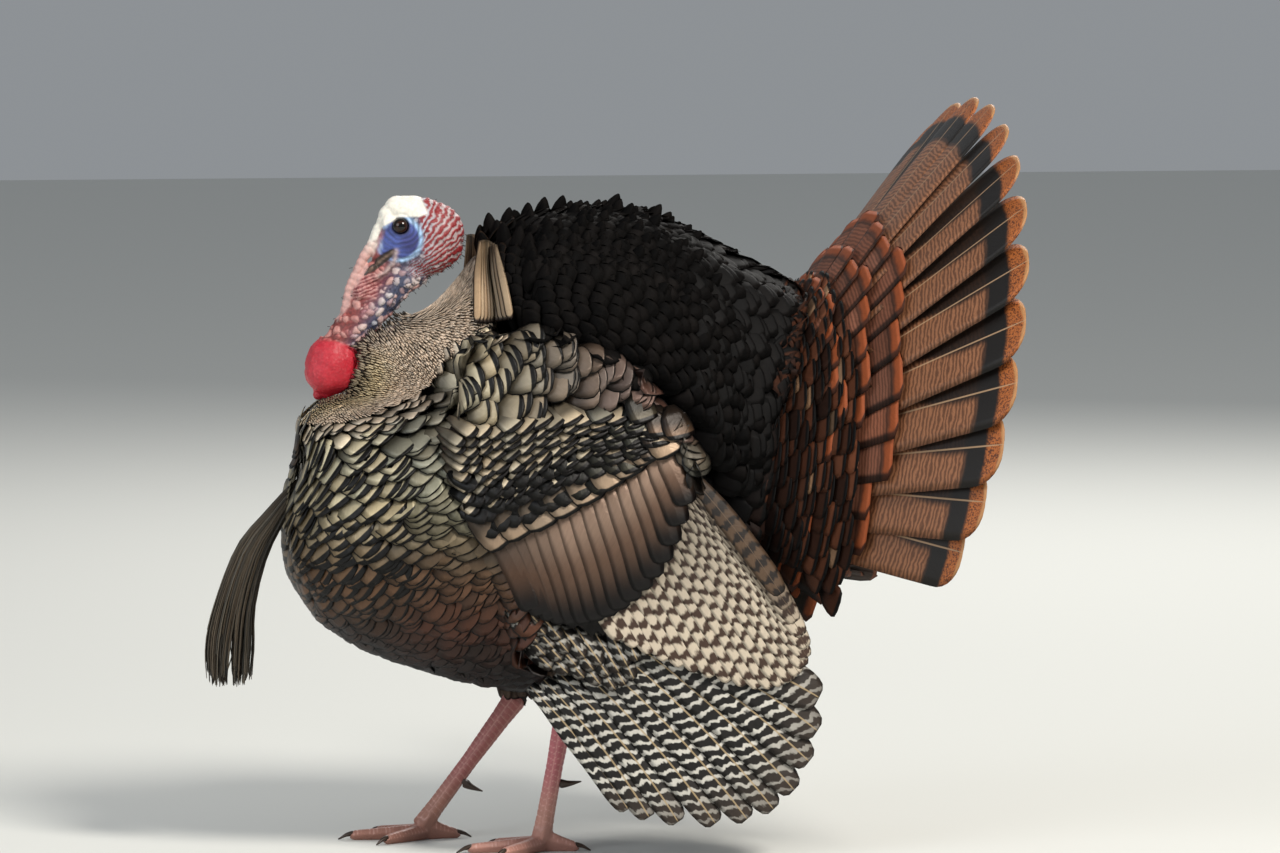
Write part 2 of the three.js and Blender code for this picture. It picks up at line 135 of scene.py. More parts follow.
def curve_through(points, shares):
    """Places along a smooth curve through the given points, at shares from 0 to 1."""
    points = np.asarray(points, float)
    last = len(points) - 1
    padded = np.vstack([2 * points[0] - points[1], points, 2 * points[-1] - points[-2]])
    t = np.clip(np.asarray(shares, float), 0, 1) * last
    k = np.minimum(t.astype(int), last - 1)
    f = (t - k)[..., None]
    a, b, c, d = (padded[k + step] for step in range(4))
    return 0.5 * (2 * b + (c - a) * f + (2 * a - 5 * b + 4 * c - d) * f ** 2
                  + (3 * b - a - 3 * c + d) * f ** 3)


# ---- Meshes and pieces ----------------------------------------------------------------------

def piece_of(name, mesh, materials, slot, replaces=()):
    """A finished piece: it rides on the bird's one body and stands for its CAD nodes."""
    piece = bpy.data.objects.new(name, mesh)
    bpy.context.scene.collection.objects.link(piece)
    for material in materials:
        mesh.materials.append(material)
    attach(piece, "root")
    if replaces:
        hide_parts(*replaces)
    return piece


def smooth_faces(mesh):
    mesh.polygons.foreach_set("use_smooth", np.ones(len(mesh.polygons), bool))


def mesh_of(bm, name):
    mesh = bpy.data.meshes.new(name)
    bm.to_mesh(mesh)
    bm.free()
    smooth_faces(mesh)
    return mesh


def copy_of(*nodes):
    """One bmesh of CAD nodes, with the corners of each merged."""
    bm = bmesh.new()
    for node in nodes:
        bm.from_mesh(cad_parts[node].data)
    bmesh.ops.remove_doubles(bm, verts=bm.verts, dist=0.00002)
    return bm


def in_order(bm):
    """The same mesh in one fixed order, as spheres and unions come in a chance one."""
    ordered = bmesh.new()
    for place, vert in enumerate(sorted(bm.verts, key=lambda vert: tuple(vert.co))):
        vert.index = place
        ordered.verts.new(vert.co)
    ordered.verts.ensure_lookup_table()
    faces = []
    for face in bm.faces:
        corners = [vert.index for vert in face.verts]
        first = corners.index(min(corners))
        faces.append(corners[first:] + corners[:first])
    for corners in sorted(faces):
        ordered.faces.new([ordered.verts[k] for k in corners])
    bm.free()
    return ordered


def modified(bm, *steps):
    """The bmesh after modifiers, each given as its type and settings."""
    mesh = bpy.data.meshes.new("work")
    bm.to_mesh(mesh)
    bm.free()
    worker = bpy.data.objects.new("work", mesh)
    bpy.context.scene.collection.objects.link(worker)
    for kind, settings in steps:
        modifier = worker.modifiers.new(kind, kind)
        for key, value in settings.items():
            setattr(modifier, key, value)
    bpy.context.view_layer.update()
    graph = bpy.context.evaluated_depsgraph_get()
    made = bpy.data.meshes.new_from_object(worker.evaluated_get(graph))
    result = bmesh.new()
    result.from_mesh(made)
    bpy.data.objects.remove(worker)
    bpy.data.meshes.remove(mesh)
    bpy.data.meshes.remove(made)
    return result


def merged_form(nodes, voxel, rounds):
    """CAD nodes merged into one smooth closed form."""
    return modified(copy_of(*nodes), ("REMESH", {"mode": "VOXEL", "voxel_size": voxel}),
        ("SMOOTH", {"factor": 0.5, "iterations": rounds}),)


def coordinates(bm):
    return np.array([v.co for v in bm.verts])


def normals(bm):
    bm.normal_update()
    return np.array([v.normal for v in bm.verts])


def move_to(bm, places):
    for vert, place in zip(bm.verts, places):
        vert.co = place


# ---- Rows of feathers on a form ------------------------------------------------------------

class Form:
    """A smooth closed surface that feathers lie on."""

    def __init__(self, bm):
        bmesh.ops.triangulate(bm, faces=bm.faces)
        bm.verts.ensure_lookup_table()
        self.co = coordinates(bm)
        self.normal = normals(bm)
        self.faces = np.array([[v.index for v in f.verts] for f in bm.faces])
        self.links = [[e.other_vert(v).index for e in v.link_edges] for v in bm.verts]
        self.tree = BVHTree.FromBMesh(bm)
        bm.free()

    def nearest(self, places):
        """The nearest places on the surface, and its smooth normals there."""
        found, ways = np.empty_like(places), np.empty_like(places)
        for k, place in enumerate(places):
            spot, _, face, _ = self.tree.find_nearest(Vector(place))
            found[k] = spot
            corners = self.faces[face]
            near = 1 / (np.linalg.norm(self.co[corners] - found[k], axis=1) + 1e-4)
            ways[k] = near @ self.normal[corners]
        return found, unit(ways)

    def distance_from(self, sources, rounds=6):
        """How far each vertex is along the surface from the nearest of some vertices."""
        far = np.full(len(self.co), np.inf)
        far[sources] = 0
        heap = [(0.0, int(k)) for k in np.flatnonzero(sources)]
        wide = [set(near) | {n for m in near for n in self.links[m]} for near in self.links]
        while heap:
            reach, k = heapq.heappop(heap)
            if reach > far[k]:
                continue
            for n in wide[k]:
                there = reach + math.dist(self.co[k], self.co[n])
                if there < far[n]:
                    far[n] = there
                    heapq.heappush(heap, (there, n))
        for _ in range(rounds):
            far = np.array([(far[k] + far[near].mean()) / 2 for k, near in enumerate(self.links)])
        return far

    def rows(self, field, level):
        """Chains of places and uphill ways where a field on the vertices has one level."""
        above = field > level
        cut = above[self.faces]
        crossed = np.flatnonzero(cut.any(1) & ~cut.all(1))
        ends = {}
        spots = {}
        for face in crossed:
            corners = self.faces[face]
            pair = []
            for a, b in ((0, 1), (1, 2), (2, 0)):
                low, high = sorted((int(corners[a]), int(corners[b])))
                if above[low] != above[high]:
                    share = (level - field[low]) / (field[high] - field[low])
                    spots[low, high] = mix(self.co[low], self.co[high], share)
                    pair.append((low, high))
            ends.setdefault(pair[0], []).append(pair[1])
            ends.setdefault(pair[1], []).append(pair[0])
        chains = []
        left = set(ends)
        while left:
            start = min(left)
            chain = [start]
            left.discard(start)
            for _ in range(2):
                while True:
                    ahead = [e for e in ends[chain[-1]] if e in left]
                    if not ahead:
                        break
                    chain.append(ahead[0])
                    left.discard(ahead[0])
                chain.reverse()
            closed = len(chain) > 2 and chain[0] in ends[chain[-1]]
            line = np.array([spots[e] for e in chain])
            if closed:
                line = np.vstack([line, line[:1]])
            chains.append(line)
        return [line for line in chains if len(line) > 3]

    def gradient(self, field):
        """The way uphill along the surface at each vertex."""
        ways = np.zeros_like(self.co)
        for k, near in enumerate(self.links):
            steps = self.co[near] - self.co[k]
            ways[k] = ((field[near] - field[k])[:, None] * steps).sum(0)
        ways -= (ways * self.normal).sum(1, keepdims=True) * self.normal
        ways = unit(ways)
        for _ in range(3):
            ways = unit(np.array([ways[k] + ways[near].mean(0)
                                  for k, near in enumerate(self.links)]))
        return ways

    def at_vertex(self, places, values):
        """Values at the vertices nearest to some places."""
        out = np.empty((len(places), values.shape[1]))
        for k, place in enumerate(places):
            _, _, face, _ = self.tree.find_nearest(Vector(place))
            corners = self.faces[face]
            near = 1 / (np.linalg.norm(self.co[corners] - place, axis=1) + 1e-4)
            out[k] = near @ values[corners] / near.sum()
        return out


def spaced(line, spacing, offset):
    """Places along a chain, evenly spaced, from a share of the spacing on."""
    lengths = np.linalg.norm(np.diff(line, axis=0), axis=1)
    reach = np.concatenate([[0], np.cumsum(lengths)])
    count = int((reach[-1] - offset * spacing) // spacing)
    marks = (np.arange(max(count, 0) + 1) + offset) * spacing
    marks = marks[marks < reach[-1]]
    return np.stack([np.interp(marks, reach, line[:, axis]) for axis in range(3)], 1)


# ---- Feathers --------------------------------------------------------------------------------

VANES = {}


def vane(columns, rows):
    """A thin closed vane: across from -1 to 1, along from 0 to 1, top side 1 or under side -1."""
    if (columns, rows) in VANES:
        return VANES[columns, rows]
    bm = bmesh.new()
    bmesh.ops.create_grid(bm, x_segments=columns, y_segments=rows, size=1)
    inner = [v for v in bm.verts if not v.is_boundary]
    copied = bmesh.ops.duplicate(bm, geom=bm.verts[:] + bm.edges[:] + bm.faces[:])["geom"]
    for vert in inner:
        vert.co.z = 1
    for vert in (g for g in copied if isinstance(g, bmesh.types.BMVert)):
        vert.co.z = 0 if vert.is_boundary else -1
    under = [g for g in copied if isinstance(g, bmesh.types.BMFace)]
    bmesh.ops.reverse_faces(bm, faces=under)
    bmesh.ops.remove_doubles(bm, verts=bm.verts, dist=1e-5)
    bm.verts.index_update()
    spots = np.array([v.co for v in bm.verts])
    quads = np.array([[v.index for v in f.verts] for f in bm.faces])
    bm.free()
    made = {"across": spots[:, 0], "along": (spots[:, 1] + 1) / 2, "side": spots[:, 2],
            "quads": quads}
    VANES[columns, rows] = made
    return made


def outline(along, tip, power, base, end):
    """Half width of a vane along it: tapering from its base, full, then closing to its end."""
    grown = base + (1 - base) * rise(0, 0.45, along)
    closing = np.clip((along - tip) / (1 - tip), 0, 1)
    closed = np.maximum(1 - closing ** power, 0) ** (1 / power)
    return grown * (end + (1 - end) * closed)


class Coat:
    """Feathers gathered into one mesh, each a vane along its own spine."""

    def __init__(self):
        self.co, self.quads, self.uv, self.bake = [], [], [], []
        self.tone, self.rim, self.marks = [], [], []
        self.count = 0

    def add(self, spines, ups, widths, columns=2, tip=0.7, power=3.0, base=0.35, cup=0.12,
            roll=0.0, thick=0.0004, end=0.4, tone=None, rim=None, band=0.06, seed=None,
            bake=None):
        """Adds n feathers. spines is n x (rows + 1) x 3, from root to tip; ups is the same."""
        spines, ups = np.asarray(spines, float), np.asarray(ups, float)
        n, rings = spines.shape[:2]
        if n == 0:
            return
        made = vane(columns, rings - 1)
        across, along, side = made["across"], made["along"], made["side"]
        ring = np.rint(along * (rings - 1)).astype(int)
        along = 1 - (1 - along) ** 1.7
        mark = (1 - (1 - np.linspace(0, 1, rings)) ** 1.7) * (rings - 1)
        low = np.minimum(mark.astype(int), rings - 2)
        part = (mark - low)[None, :, None]
        spines = mix(spines[:, low], spines[:, low + 1], part)
        ups = mix(ups[:, low], ups[:, low + 1], part)
        ways = unit(np.gradient(spines, axis=1) + 1e-9)
        ups = unit(ups - (ups * ways).sum(2, keepdims=True) * ways)
        rights = np.cross(ways, ups)
        widths = np.broadcast_to(widths, (n,)).astype(float)
        rolls = np.broadcast_to(roll, (n,)).astype(float)
        half = widths[:, None] * outline(along, tip, power, base, end)
        seeds = RANDOM.random(n) if seed is None else seed
        lift = (rolls[:, None] * across - cup * across ** 2) * half + side * thick
        spots = (spines[:, ring] + rights[:, ring] * (half * across)[..., None]
                 + ups[:, ring] * lift[..., None])
        base_index = self.count + np.arange(n) * len(along)
        self.co.append(spots.reshape(-1, 3))
        self.quads.append((made["quads"][None] + base_index[:, None, None]).reshape(-1, 4))
        uv = np.stack([across / 2 + 0.5, along], 1)
        self.uv.append(np.tile(uv, (n, 1)))
        self.tone.append(np.repeat(np.broadcast_to(tone, (n, 3)), len(along), 0))
        self.rim.append(np.repeat(np.broadcast_to(rim, (n, 3)), len(along), 0))
        bands = np.broadcast_to(band, (n,))
        reach = np.linalg.norm(np.diff(spines, axis=1), axis=2).sum(1) / MM
        marks = np.stack([bands, seeds, widths / MM, reach], 1)
        self.marks.append(np.repeat(marks, len(along), 0))
        if bake is None:
            bake = root_patch(spines[:, 0])
        size = bake[:, 2:] if bake.shape[1] > 2 else np.full((n, 2), PATCH)
        self.bake.append(((bake[:, None, :2] + (uv - 0.5)[None] * size[:, None]).reshape(-1, 2)))
        self.count += n * len(along)

    def piece(self, name, material, slot, replaces=()):
        mesh = bpy.data.meshes.new(name)
        co, quads = np.concatenate(self.co), np.concatenate(self.quads)
        mesh.vertices.add(len(co))
        mesh.vertices.foreach_set("co", co.astype(np.float32).ravel())
        mesh.loops.add(quads.size)
        mesh.loops.foreach_set("vertex_index", quads.astype(np.int32).ravel())
        mesh.polygons.add(len(quads))
        mesh.polygons.foreach_set("loop_start", np.arange(0, quads.size, 4, dtype=np.int32))
        mesh.update(calc_edges=True)
        corner = quads.ravel()
        for title, values in (("Vane", self.uv), ("OFBake", self.bake)):
            layer = mesh.uv_layers.new(name=title)
            spots = np.concatenate(values)[corner]
            layer.uv.foreach_set("vector", spots.astype(np.float32).ravel())
        mesh.uv_layers.active = mesh.uv_layers["Vane"]
        for title, values in (("tone", self.tone), ("rim", self.rim)):
            colours = np.concatenate(values)
            layer = mesh.color_attributes.new(title, "FLOAT_COLOR", "POINT")
            full = np.concatenate([colours, np.ones((len(colours), 1))], 1)
            layer.data.foreach_set("color", full.astype(np.float32).ravel())
        marks = np.concatenate(self.marks)
        layer = mesh.color_attributes.new("marks", "FLOAT_COLOR", "POINT")
        layer.data.foreach_set("color", marks.astype(np.float32).ravel())
        smooth_faces(mesh)
        mesh.validate()
        return piece_of(name, mesh, [material], slot, replaces)


RANDOM = np.random.default_rng(7)
noise.seed_set(7)
PATCH = 0.003
BODY_LOW, BODY_HIGH = (np.array(corner) for corner in CAD_BOX)


def root_patch(roots):
    """Where each feather's patch lies on an unwrap of the body, rolled out round its long axis."""
    middle = (BODY_LOW + BODY_HIGH) / 2
    size = BODY_HIGH - BODY_LOW
    round_it = np.arctan2(roots[:, 1] - HOME_XYZ[1], roots[:, 2] - middle[2]) / (2 * np.pi)
    along = (roots[:, 0] - BODY_LOW[0]) / size[0]
    return np.stack([0.02 + 0.96 * along, 0.5 + 0.96 * round_it], 1)


def lay(form, roots, ways, lengths, rows, deep, high):
    """Spines that leave the form `deep` under it, follow it and end `high` over it."""
    n = len(roots)
    spots, ups = form.nearest(roots)
    ways = unit(ways - (ways * ups).sum(1, keepdims=True) * ups)
    step = (np.broadcast_to(lengths, (n,)) / rows)[:, None]
    spines, lifts = [spots], [ups]
    for _ in range(rows):
        spot, up = form.nearest(spines[-1] + ways * step)
        spines.append(spot)
        lifts.append(up)
        ways = unit(ways - (ways * up).sum(1, keepdims=True) * up)
    spines, lifts = np.stack(spines, 1), np.stack(lifts, 1)
    share = np.linspace(0, 1, rows + 1)[None, :, None]
    deep = np.broadcast_to(deep, (n,))[:, None, None]
    high = np.broadcast_to(high, (n,))[:, None, None]
    return spines + lifts * mix(-deep, high, share), lifts


# ---- Materials -------------------------------------------------------------------------------

class Recipe:
    """One material's nodes, put together a value at a time."""

    def __init__(self, name, **finish):
        self.material = bpy.data.materials.new(name)
        self.material.use_nodes = True
        self.tree = self.material.node_tree
        self.tree.nodes.clear()
        self.output = self.tree.nodes.new("ShaderNodeOutputMaterial")
        self.shader = self.tree.nodes.new("ShaderNodeBsdfPrincipled")
        self.tree.links.new(self.shader.outputs[0], self.output.inputs[0])
        for title, value in finish.items():
            self.set(title.replace("_", " "), value)

    def fill(self, socket, value):
        if isinstance(value, bpy.types.NodeSocket):
            self.tree.links.new(value, socket)
        elif socket.type == "RGBA":
            socket.default_value = (*value[:3], 1.0)
        else:
            socket.default_value = value

    def set(self, title, value):
        self.fill(self.shader.inputs[title], value)

    def node(self, kind, *values, out=0, **settings):
        made = self.tree.nodes.new(kind)
        for key, value in settings.items():
            setattr(made, key, value)
        for socket, value in zip(made.inputs, values):
            if value is not None:
                self.fill(socket, value)
        return made.outputs[out]

    def calc(self, operation, a, b=0.0, c=0.0):
        return self.node("ShaderNodeMath", a, b, c, operation=operation)

    def times(self, *values):
        result = values[0]
        for value in values[1:]:
            result = self.calc("MULTIPLY", result, value)
        return result

    def plus(self, a, b):
        return self.calc("ADD", a, b)

    def minus(self, a, b):
        return self.calc("SUBTRACT", a, b)

    def ramp(self, value, low, high):
        """A smooth rise from 0 to 1 between two values."""
        return self.node("ShaderNodeMapRange", value, low, high, 0.0, 1.0,
            interpolation_type="SMOOTHSTEP")

    def blend(self, share, a, b):
        made = self.tree.nodes.new("ShaderNodeMix")
        made.data_type = "RGBA"
        made.clamp_factor = True
        for socket, value in ((made.inputs[0], share), (made.inputs[6], a), (made.inputs[7], b)):
            self.fill(socket, value)
        return made.outputs[2]

    def shade(self, colour, amount):
        """A colour made lighter or darker by a value near 1."""
        made = self.tree.nodes.new("ShaderNodeVectorMath")
        made.operation = "SCALE"
        self.fill(made.inputs[0], colour)
        self.fill(made.inputs["Scale"], amount)
        return made.outputs[0]

    def attribute(self, name):
        made = self.tree.nodes.new("ShaderNodeAttribute")
        made.attribute_name = name
        return made

    def parts(self, vector):
        made = self.tree.nodes.new("ShaderNodeSeparateXYZ")
        self.fill(made.inputs[0], vector)
        return made.outputs

    def join(self, x, y, z):
        return self.node("ShaderNodeCombineXYZ", x, y, z)

    def own_place(self):
        made = self.tree.nodes.new("ShaderNodeTexCoord")
        return made.outputs["Object"]

    def noise(self, vector, scale, detail=2.0, colour=False):
        made = self.tree.nodes.new("ShaderNodeTexNoise")
        self.fill(made.inputs["Vector"], vector)
        made.inputs["Scale"].default_value = scale
        made.inputs["Detail"].default_value = detail
        return made.outputs["Color" if colour else "Fac"]

    def wave(self, place):
        """Falls from 1 to 0 and rises again with each whole number of a value."""
        middle = self.minus(self.calc("FRACT", place), 0.5)
        return self.times(self.calc("ABSOLUTE", middle), 2.0)

    def bump(self, height, distance, strength=1.0):
        made = self.tree.nodes.new("ShaderNodeBump")
        made.inputs["Distance"].default_value = distance
        made.inputs["Strength"].default_value = strength
        self.fill(made.inputs["Height"], height)
        self.set("Normal", made.outputs["Normal"])


class VaneValues:
    """What a feather's material knows at each place of a vane, as sockets."""

    def __init__(self, recipe):
        self.u, self.v, _ = recipe.parts(recipe.node("ShaderNodeUVMap", uv_map="Vane"))
        marks = recipe.attribute("marks")
        self.band, self.seed, half = recipe.parts(marks.outputs["Color"])
        self.signed = recipe.minus(recipe.times(self.u, 2.0), 1.0)
        self.across = recipe.calc("ABSOLUTE", self.signed)
        self.along_mm = recipe.times(self.v, marks.outputs["Alpha"])
        self.across_mm = recipe.times(self.across, half)
        self.tone = recipe.attribute("tone").outputs["Color"]
        self.rim = recipe.attribute("rim").outputs["Color"]

    def stir(self, recipe, along, across, apart, detail):
        """Noise along and across the vane, different on each feather."""
        place = recipe.join(recipe.times(self.along_mm, along), recipe.times(self.signed, across),
            recipe.times(self.seed, apart))
        return recipe.noise(place, 1.0, detail)

    def rounded(self, recipe):
        """How far along the vane, a little further at its sides."""
        cubed = recipe.times(self.across, self.across, self.across, 0.06)
        return recipe.plus(self.v, cubed)


def feather_material(name, shine=0.35, rough=0.42, streak=0.25, edge=0.0, one_sided=False,
                     shaft=None, quill=1.0, root=0.35, fade=(0.1, 0.75), bars=None, gloss=0.4):
    """Vanes with fine barbs. bars, if given, adds cross markings to them.

    quill is the shaft's half width in millimetres, and root the share of light left at the
    vane's foot, which fades in between the two shares of its length in fade.
    """
    recipe = Recipe(name)
    vane = VaneValues(recipe)
    across = vane.across
    barb = recipe.minus(vane.along_mm, recipe.times(vane.across_mm, 0.9))
    turn = recipe.times(vane.seed, 97.0)
    fine = recipe.noise(recipe.join(recipe.times(barb, 1.3), turn, across), 1.0, 2.0)
    broad = recipe.noise(recipe.join(recipe.times(barb, 0.3), turn, across), 1.0, 1.0)
    grain = recipe.plus(recipe.times(fine, 0.5), recipe.times(broad, 0.5))
    light = recipe.plus(recipe.times(recipe.minus(grain, 0.5), 2 * streak), 1.0)
    colour = recipe.shade(bars(recipe, vane) if bars else vane.tone, light)
    deep = recipe.ramp(vane.v, *fade)
    colour = recipe.blend(deep, recipe.shade(colour, root), colour)
    if shaft:
        spine = recipe.minus(1.0, recipe.ramp(vane.across_mm, quill / 2, quill))
        colour = recipe.blend(recipe.times(spine, 0.8), colour, shaft)
    if not bars:
        rough_end = recipe.times(recipe.minus(fine, 0.5), 0.02)
        reach = recipe.plus(vane.rounded(recipe), rough_end)
        low = recipe.minus(0.99, vane.band)
        share = recipe.ramp(reach, low, recipe.plus(low, 0.03))
        if edge:
            side = vane.signed if one_sided else across
            share = recipe.calc("MAXIMUM", share, recipe.ramp(side, 1 - edge, 1 - edge / 2))
        colour = recipe.blend(share, colour, vane.rim)
    recipe.set("Base Color", colour)
    recipe.set("Metallic", shine)
    recipe.set("Roughness", rough)
    recipe.set("Specular IOR Level", gloss)
    recipe.bump(recipe.minus(fine, recipe.times(across, across)), 0.0004, 0.7)
    return recipe.material


def plain_material(name, colour, rough=0.5, **finish):
    recipe = Recipe(name, Roughness=rough, **finish)
    recipe.set("Base Color", colour)
    return recipe.material


# ---- The lie of the body coat ----------------------------------------------------------------

# Coarseness of the coat where the neck's hairlike feathers end, and where the broad ones begin.
FINE, BROAD = 0.22, 0.6
FLESH = ("neck_upper", "caruncles", "neck_lower", "breast", "trunk")
WINGS = ("wing_left", "wing_right")
forms = {}


def form_of(name, nodes, voxel, rounds):
    if name not in forms:
        bm = merged_form(nodes, voxel * MM, rounds)
        if name == "guide":
            move_to(bm, fuller(coordinates(bm)))
        forms[name] = Form(bm)
    return forms[name]


def bare_reach(places):
    """How far places lie from the bare skin of head, throat and wattle, in millimetres."""
    x, y, z = own_mm(places).T
    reach = np.full(len(x), np.inf)
    for ends, radius in (
        (((-134, 0, 640), (-192, 0, 622)), 46),
        (((-156, 0, 604), (-200, 0, 565)), 25),
        (((-200, 0, 565), (-230, 0, 540)), 23),
        (((-238, 0, 512), (-246, 0, 502)), 31),
    ):
        a, b = (np.array(end, float) for end in ends)
        line = b - a
        spots = np.stack([x, y, z], 1)
        share = np.clip(((spots - a) @ line) / (line @ line), 0, 1)
        away = np.linalg.norm(spots - a - share[:, None] * line, axis=1)
        reach = np.minimum(reach, away - radius)
    return reach


def fuller(places):
    """Draws the top of the breast forward, up to the wattle that hangs before it."""
    spots = own_mm(places)
    away = (spots[:, 0] + 235) ** 2 + (spots[:, 2] - 462) ** 2
    share = rise(-10, 8, bare_reach(places)) * np.exp(-away / (2 * 32 ** 2))
    spots[:, 0] -= 36 * share
    away = (spots[:, 0] + 236) ** 2 + (spots[:, 2] - 464) ** 2
    spots[:, 2] += 9 * rise(-9, 0, bare_reach(places)) * np.exp(-away / (2 * 18 ** 2))
    return placed(spots)


SHOULDER = np.array([-60.0, 0.0, 500.0])
RIGHT_SWING, RIGHT_FOLD = math.radians(9), 0.9


def wing_place(spots, side):
    """Own places on a wing from places on the left wing as it would hang unturned."""
    if side == "left":
        return spots
    moved = (spots - SHOULDER) * (RIGHT_FOLD, -1, 1)
    x, y, z = moved[..., 0], moved[..., 1], moved[..., 2]
    c, s = math.cos(RIGHT_SWING), math.sin(RIGHT_SWING)
    return np.stack([c * x - s * z, y, s * x + c * z], -1) + SHOULDER


def unturned(spots):
    """The same, backwards: where a place would be on the left wing."""
    moved = np.array(spots, float) - SHOULDER
    x, y, z = moved[..., 0], moved[..., 1], moved[..., 2]
    c, s = math.cos(RIGHT_SWING), math.sin(RIGHT_SWING)
    back = np.stack([(c * x + s * z) / RIGHT_FOLD, -y, -s * x + c * z], -1)
    kept = np.stack([x, y, z], -1)
    return np.where(y[..., None] > 0, back, kept) + SHOULDER


def flank(x, z):
    """Half the bird's width over a drooping wing, in millimetres."""
    return 172 - 0.0006 * (x - 85) ** 2 - 0.001 * np.maximum(z - 330, 0) ** 2


def over_wing(spots):
    """How far own places lie inside the wing's own coat, seen from the side, in millimetres."""
    x, y, z = unturned(spots).T
    front = np.interp(z, (60, 176, 230, 285, 340, 398, 448), (20, -56, -55, -70, -92, -118, -143))
    top = np.interp(x, (-143, -42, 20, 62, 104, 130), (450, 474, 486, 470, 440, 398))
    inside = np.minimum(x - front, top - z)
    return np.where(np.abs(y) > 95, inside, -99.0)


def region(value, *stops):
    """Colours along a value, from stops of (value, colour)."""
    marks = [stop[0] for stop in stops]
    colours = np.array([linear(stop[1]) for stop in stops])
    return np.stack([np.interp(value, marks, colours[:, axis]) for axis in range(3)], 1)


def varied(colours, amount, warm=0.0):
    """Colours with each feather a little lighter, darker or warmer than its neighbours."""
    n = len(colours)
    light = 1 + amount * RANDOM.standard_normal(n)
    tilt = warm * RANDOM.standard_normal(n)
    scale = np.stack([light + tilt, light, light - tilt], 1)
    return np.clip(colours * np.clip(scale, 0.3, 1.9), 0, 1)


def body_tones(spots):
    """The colour of the body's feathers at own places: their own bronze, grey-green and copper,
    with the front's pale cream as painted sheen and the lower body near black as painted shade.
    """
    x, _, z = spots.T
    # Side and front turn near black downwards: partly the feathers' own dark copper, partly
    # painted shade under the body.
    side = region(z, (170, "0d0806"), (215, "1c0f0a"), (265, "4a2a1c"), (330, "5c4431"),
        (390, "6b6652"), (430, "8f8c7b"), (500, "aba494"), (560, "a2948a"))
    # The front's pale cream about its top is painted sheen.
    front = region(z, (200, "100a07"), (260, "2a1b13"), (320, "6e5038"), (390, "b0a282"),
        (430, "d0c5a6"), (455, "c0b599"), (480, "8f8672"))
    ahead = rise(-178, -235, x)[:, None]
    shoulder = region(x, (-180, "efe0c0"), (-120, "b5a88c"), (-60, "84796b"), (0, "6b5c54"),
        (60, "54392f"))
    high = (rise(425, 475, z) * rise(-165, -120, x))[:, None]
    colours = mix(mix(side, front, ahead), shoulder, high)
    behind = rise(40, 130, x)[:, None] * rise(520, 420, z)[:, None] * (1 - high)
    return mix(colours, linear("150e0b"), behind)


def coarseness(spots):
    """0 where the neck's hairlike feathers lie, 1 where the feathers are broad."""
    x, _, z = spots.T
    line = np.interp(x, (-300, -236, -163, -136, -73, -45), (455, 470, 487, 530, 572, 640))
    return rise(-4, 42, line - z)


def body_rows(steps, low, high):
    """Roots and ways of feathers in rows round the neck, where the coarseness is in a range."""
    guide = form_of("guide", FLESH + WINGS, 8.5, 9)
    if "reach" not in forms:
        own = own_mm(guide.co)
        x, y, z = own.T
        parting = (np.abs(y) < 9) & (x < -200) & (z > 350) & (z < 478)
        forms["reach"] = guide.distance_from((bare_reach(guide.co) < -3) | parting)
        forms["ways"] = guide.gradient(forms["reach"])
        broad = guide.distance_from(parting) + 0.5 * MM * (400 - np.minimum(z, 400))
        forms["broad reach"], forms["broad ways"] = broad, guide.gradient(broad)
    name = "broad " if low > 0 else ""
    reach, ways = forms[name + "reach"], forms[name + "ways"]
    step, spacing = steps
    roots, start = [], 0.0
    level = 1.5 * MM
    while level < min(reach[np.isfinite(reach)].max(), 0.8):
        for line in guide.rows(reach, level):
            spots = spaced(line, spacing * MM, start)
            if len(spots):
                roots.append(spots)
        start = (start + GOLDEN) % 1
        level += step * MM
    roots = np.concatenate(roots)
    shake = RANDOM.normal(0, spacing * 0.1 * MM, roots.shape)
    roots = roots + shake
    own = own_mm(roots)
    grain = coarseness(own)
    kept = (grain >= low) & (grain < high)
    return guide, roots[kept], guide.at_vertex(roots[kept], ways), own[kept], grain[kept]


def on_shelf(spots, ways):
    """1 on the wings' upward shelves, where the black of the mantle reaches, 0 elsewhere."""
    shelf = rise(0.4, 0.65, ways[:, 2]) * rise(430, 450, spots[:, 2])
    return shelf * rise(-80, -50, spots[:, 0]) * rise(80, 95, np.abs(spots[:, 1]))


def barred(period, share, slant=0.0, wobble=0.35, diamond=0.0, soft=0.12, worn=0.0):
    """Cross bars of the tone on the rim's colour, every period millimetres along the vane."""
    def bars(recipe, vane):
        stir = vane.stir(recipe, 0.07, 2.2, 57.0, 2.0)
        leaning = recipe.times(recipe.calc("SIGN", vane.signed), vane.across_mm, slant / period)
        place = recipe.plus(recipe.times(vane.along_mm, 1 / period), leaning)
        place = recipe.plus(recipe.plus(place, vane.seed), recipe.times(stir, wobble))
        wave = recipe.plus(recipe.wave(place), recipe.times(vane.across, diamond))
        mask = recipe.minus(1.0, recipe.ramp(wave, share - soft, share + soft))
        colour = recipe.blend(mask, vane.rim, vane.tone)
        if not worn:
            return colour
        reach = recipe.plus(vane.v, recipe.times(stir, 0.1))
        faded = recipe.times(recipe.ramp(reach, 0.75, 1.1), worn)
        return recipe.blend(faded, colour, linear("3a2f27"))
    return bars


def to_tip(start, end):
    """The tone turning into the rim's colour towards the tip of the vane."""
    def bars(recipe, vane):
        return recipe.blend(recipe.ramp(vane.rounded(recipe), start, end), vane.tone, vane.rim)
    return bars


# ---- Settings --------------------------------------------------------------------------------

def length_of(name, description, default):
    return bpy.props.FloatProperty(name=name, description=description, default=default, min=0.0,
        subtype="DISTANCE", unit="LENGTH", precision=4)


def colour_of(name, description, code):
    return bpy.props.FloatVectorProperty(name=name, description=description, size=3, min=0.0,
        max=1.0, default=linear(code), subtype="COLOR")


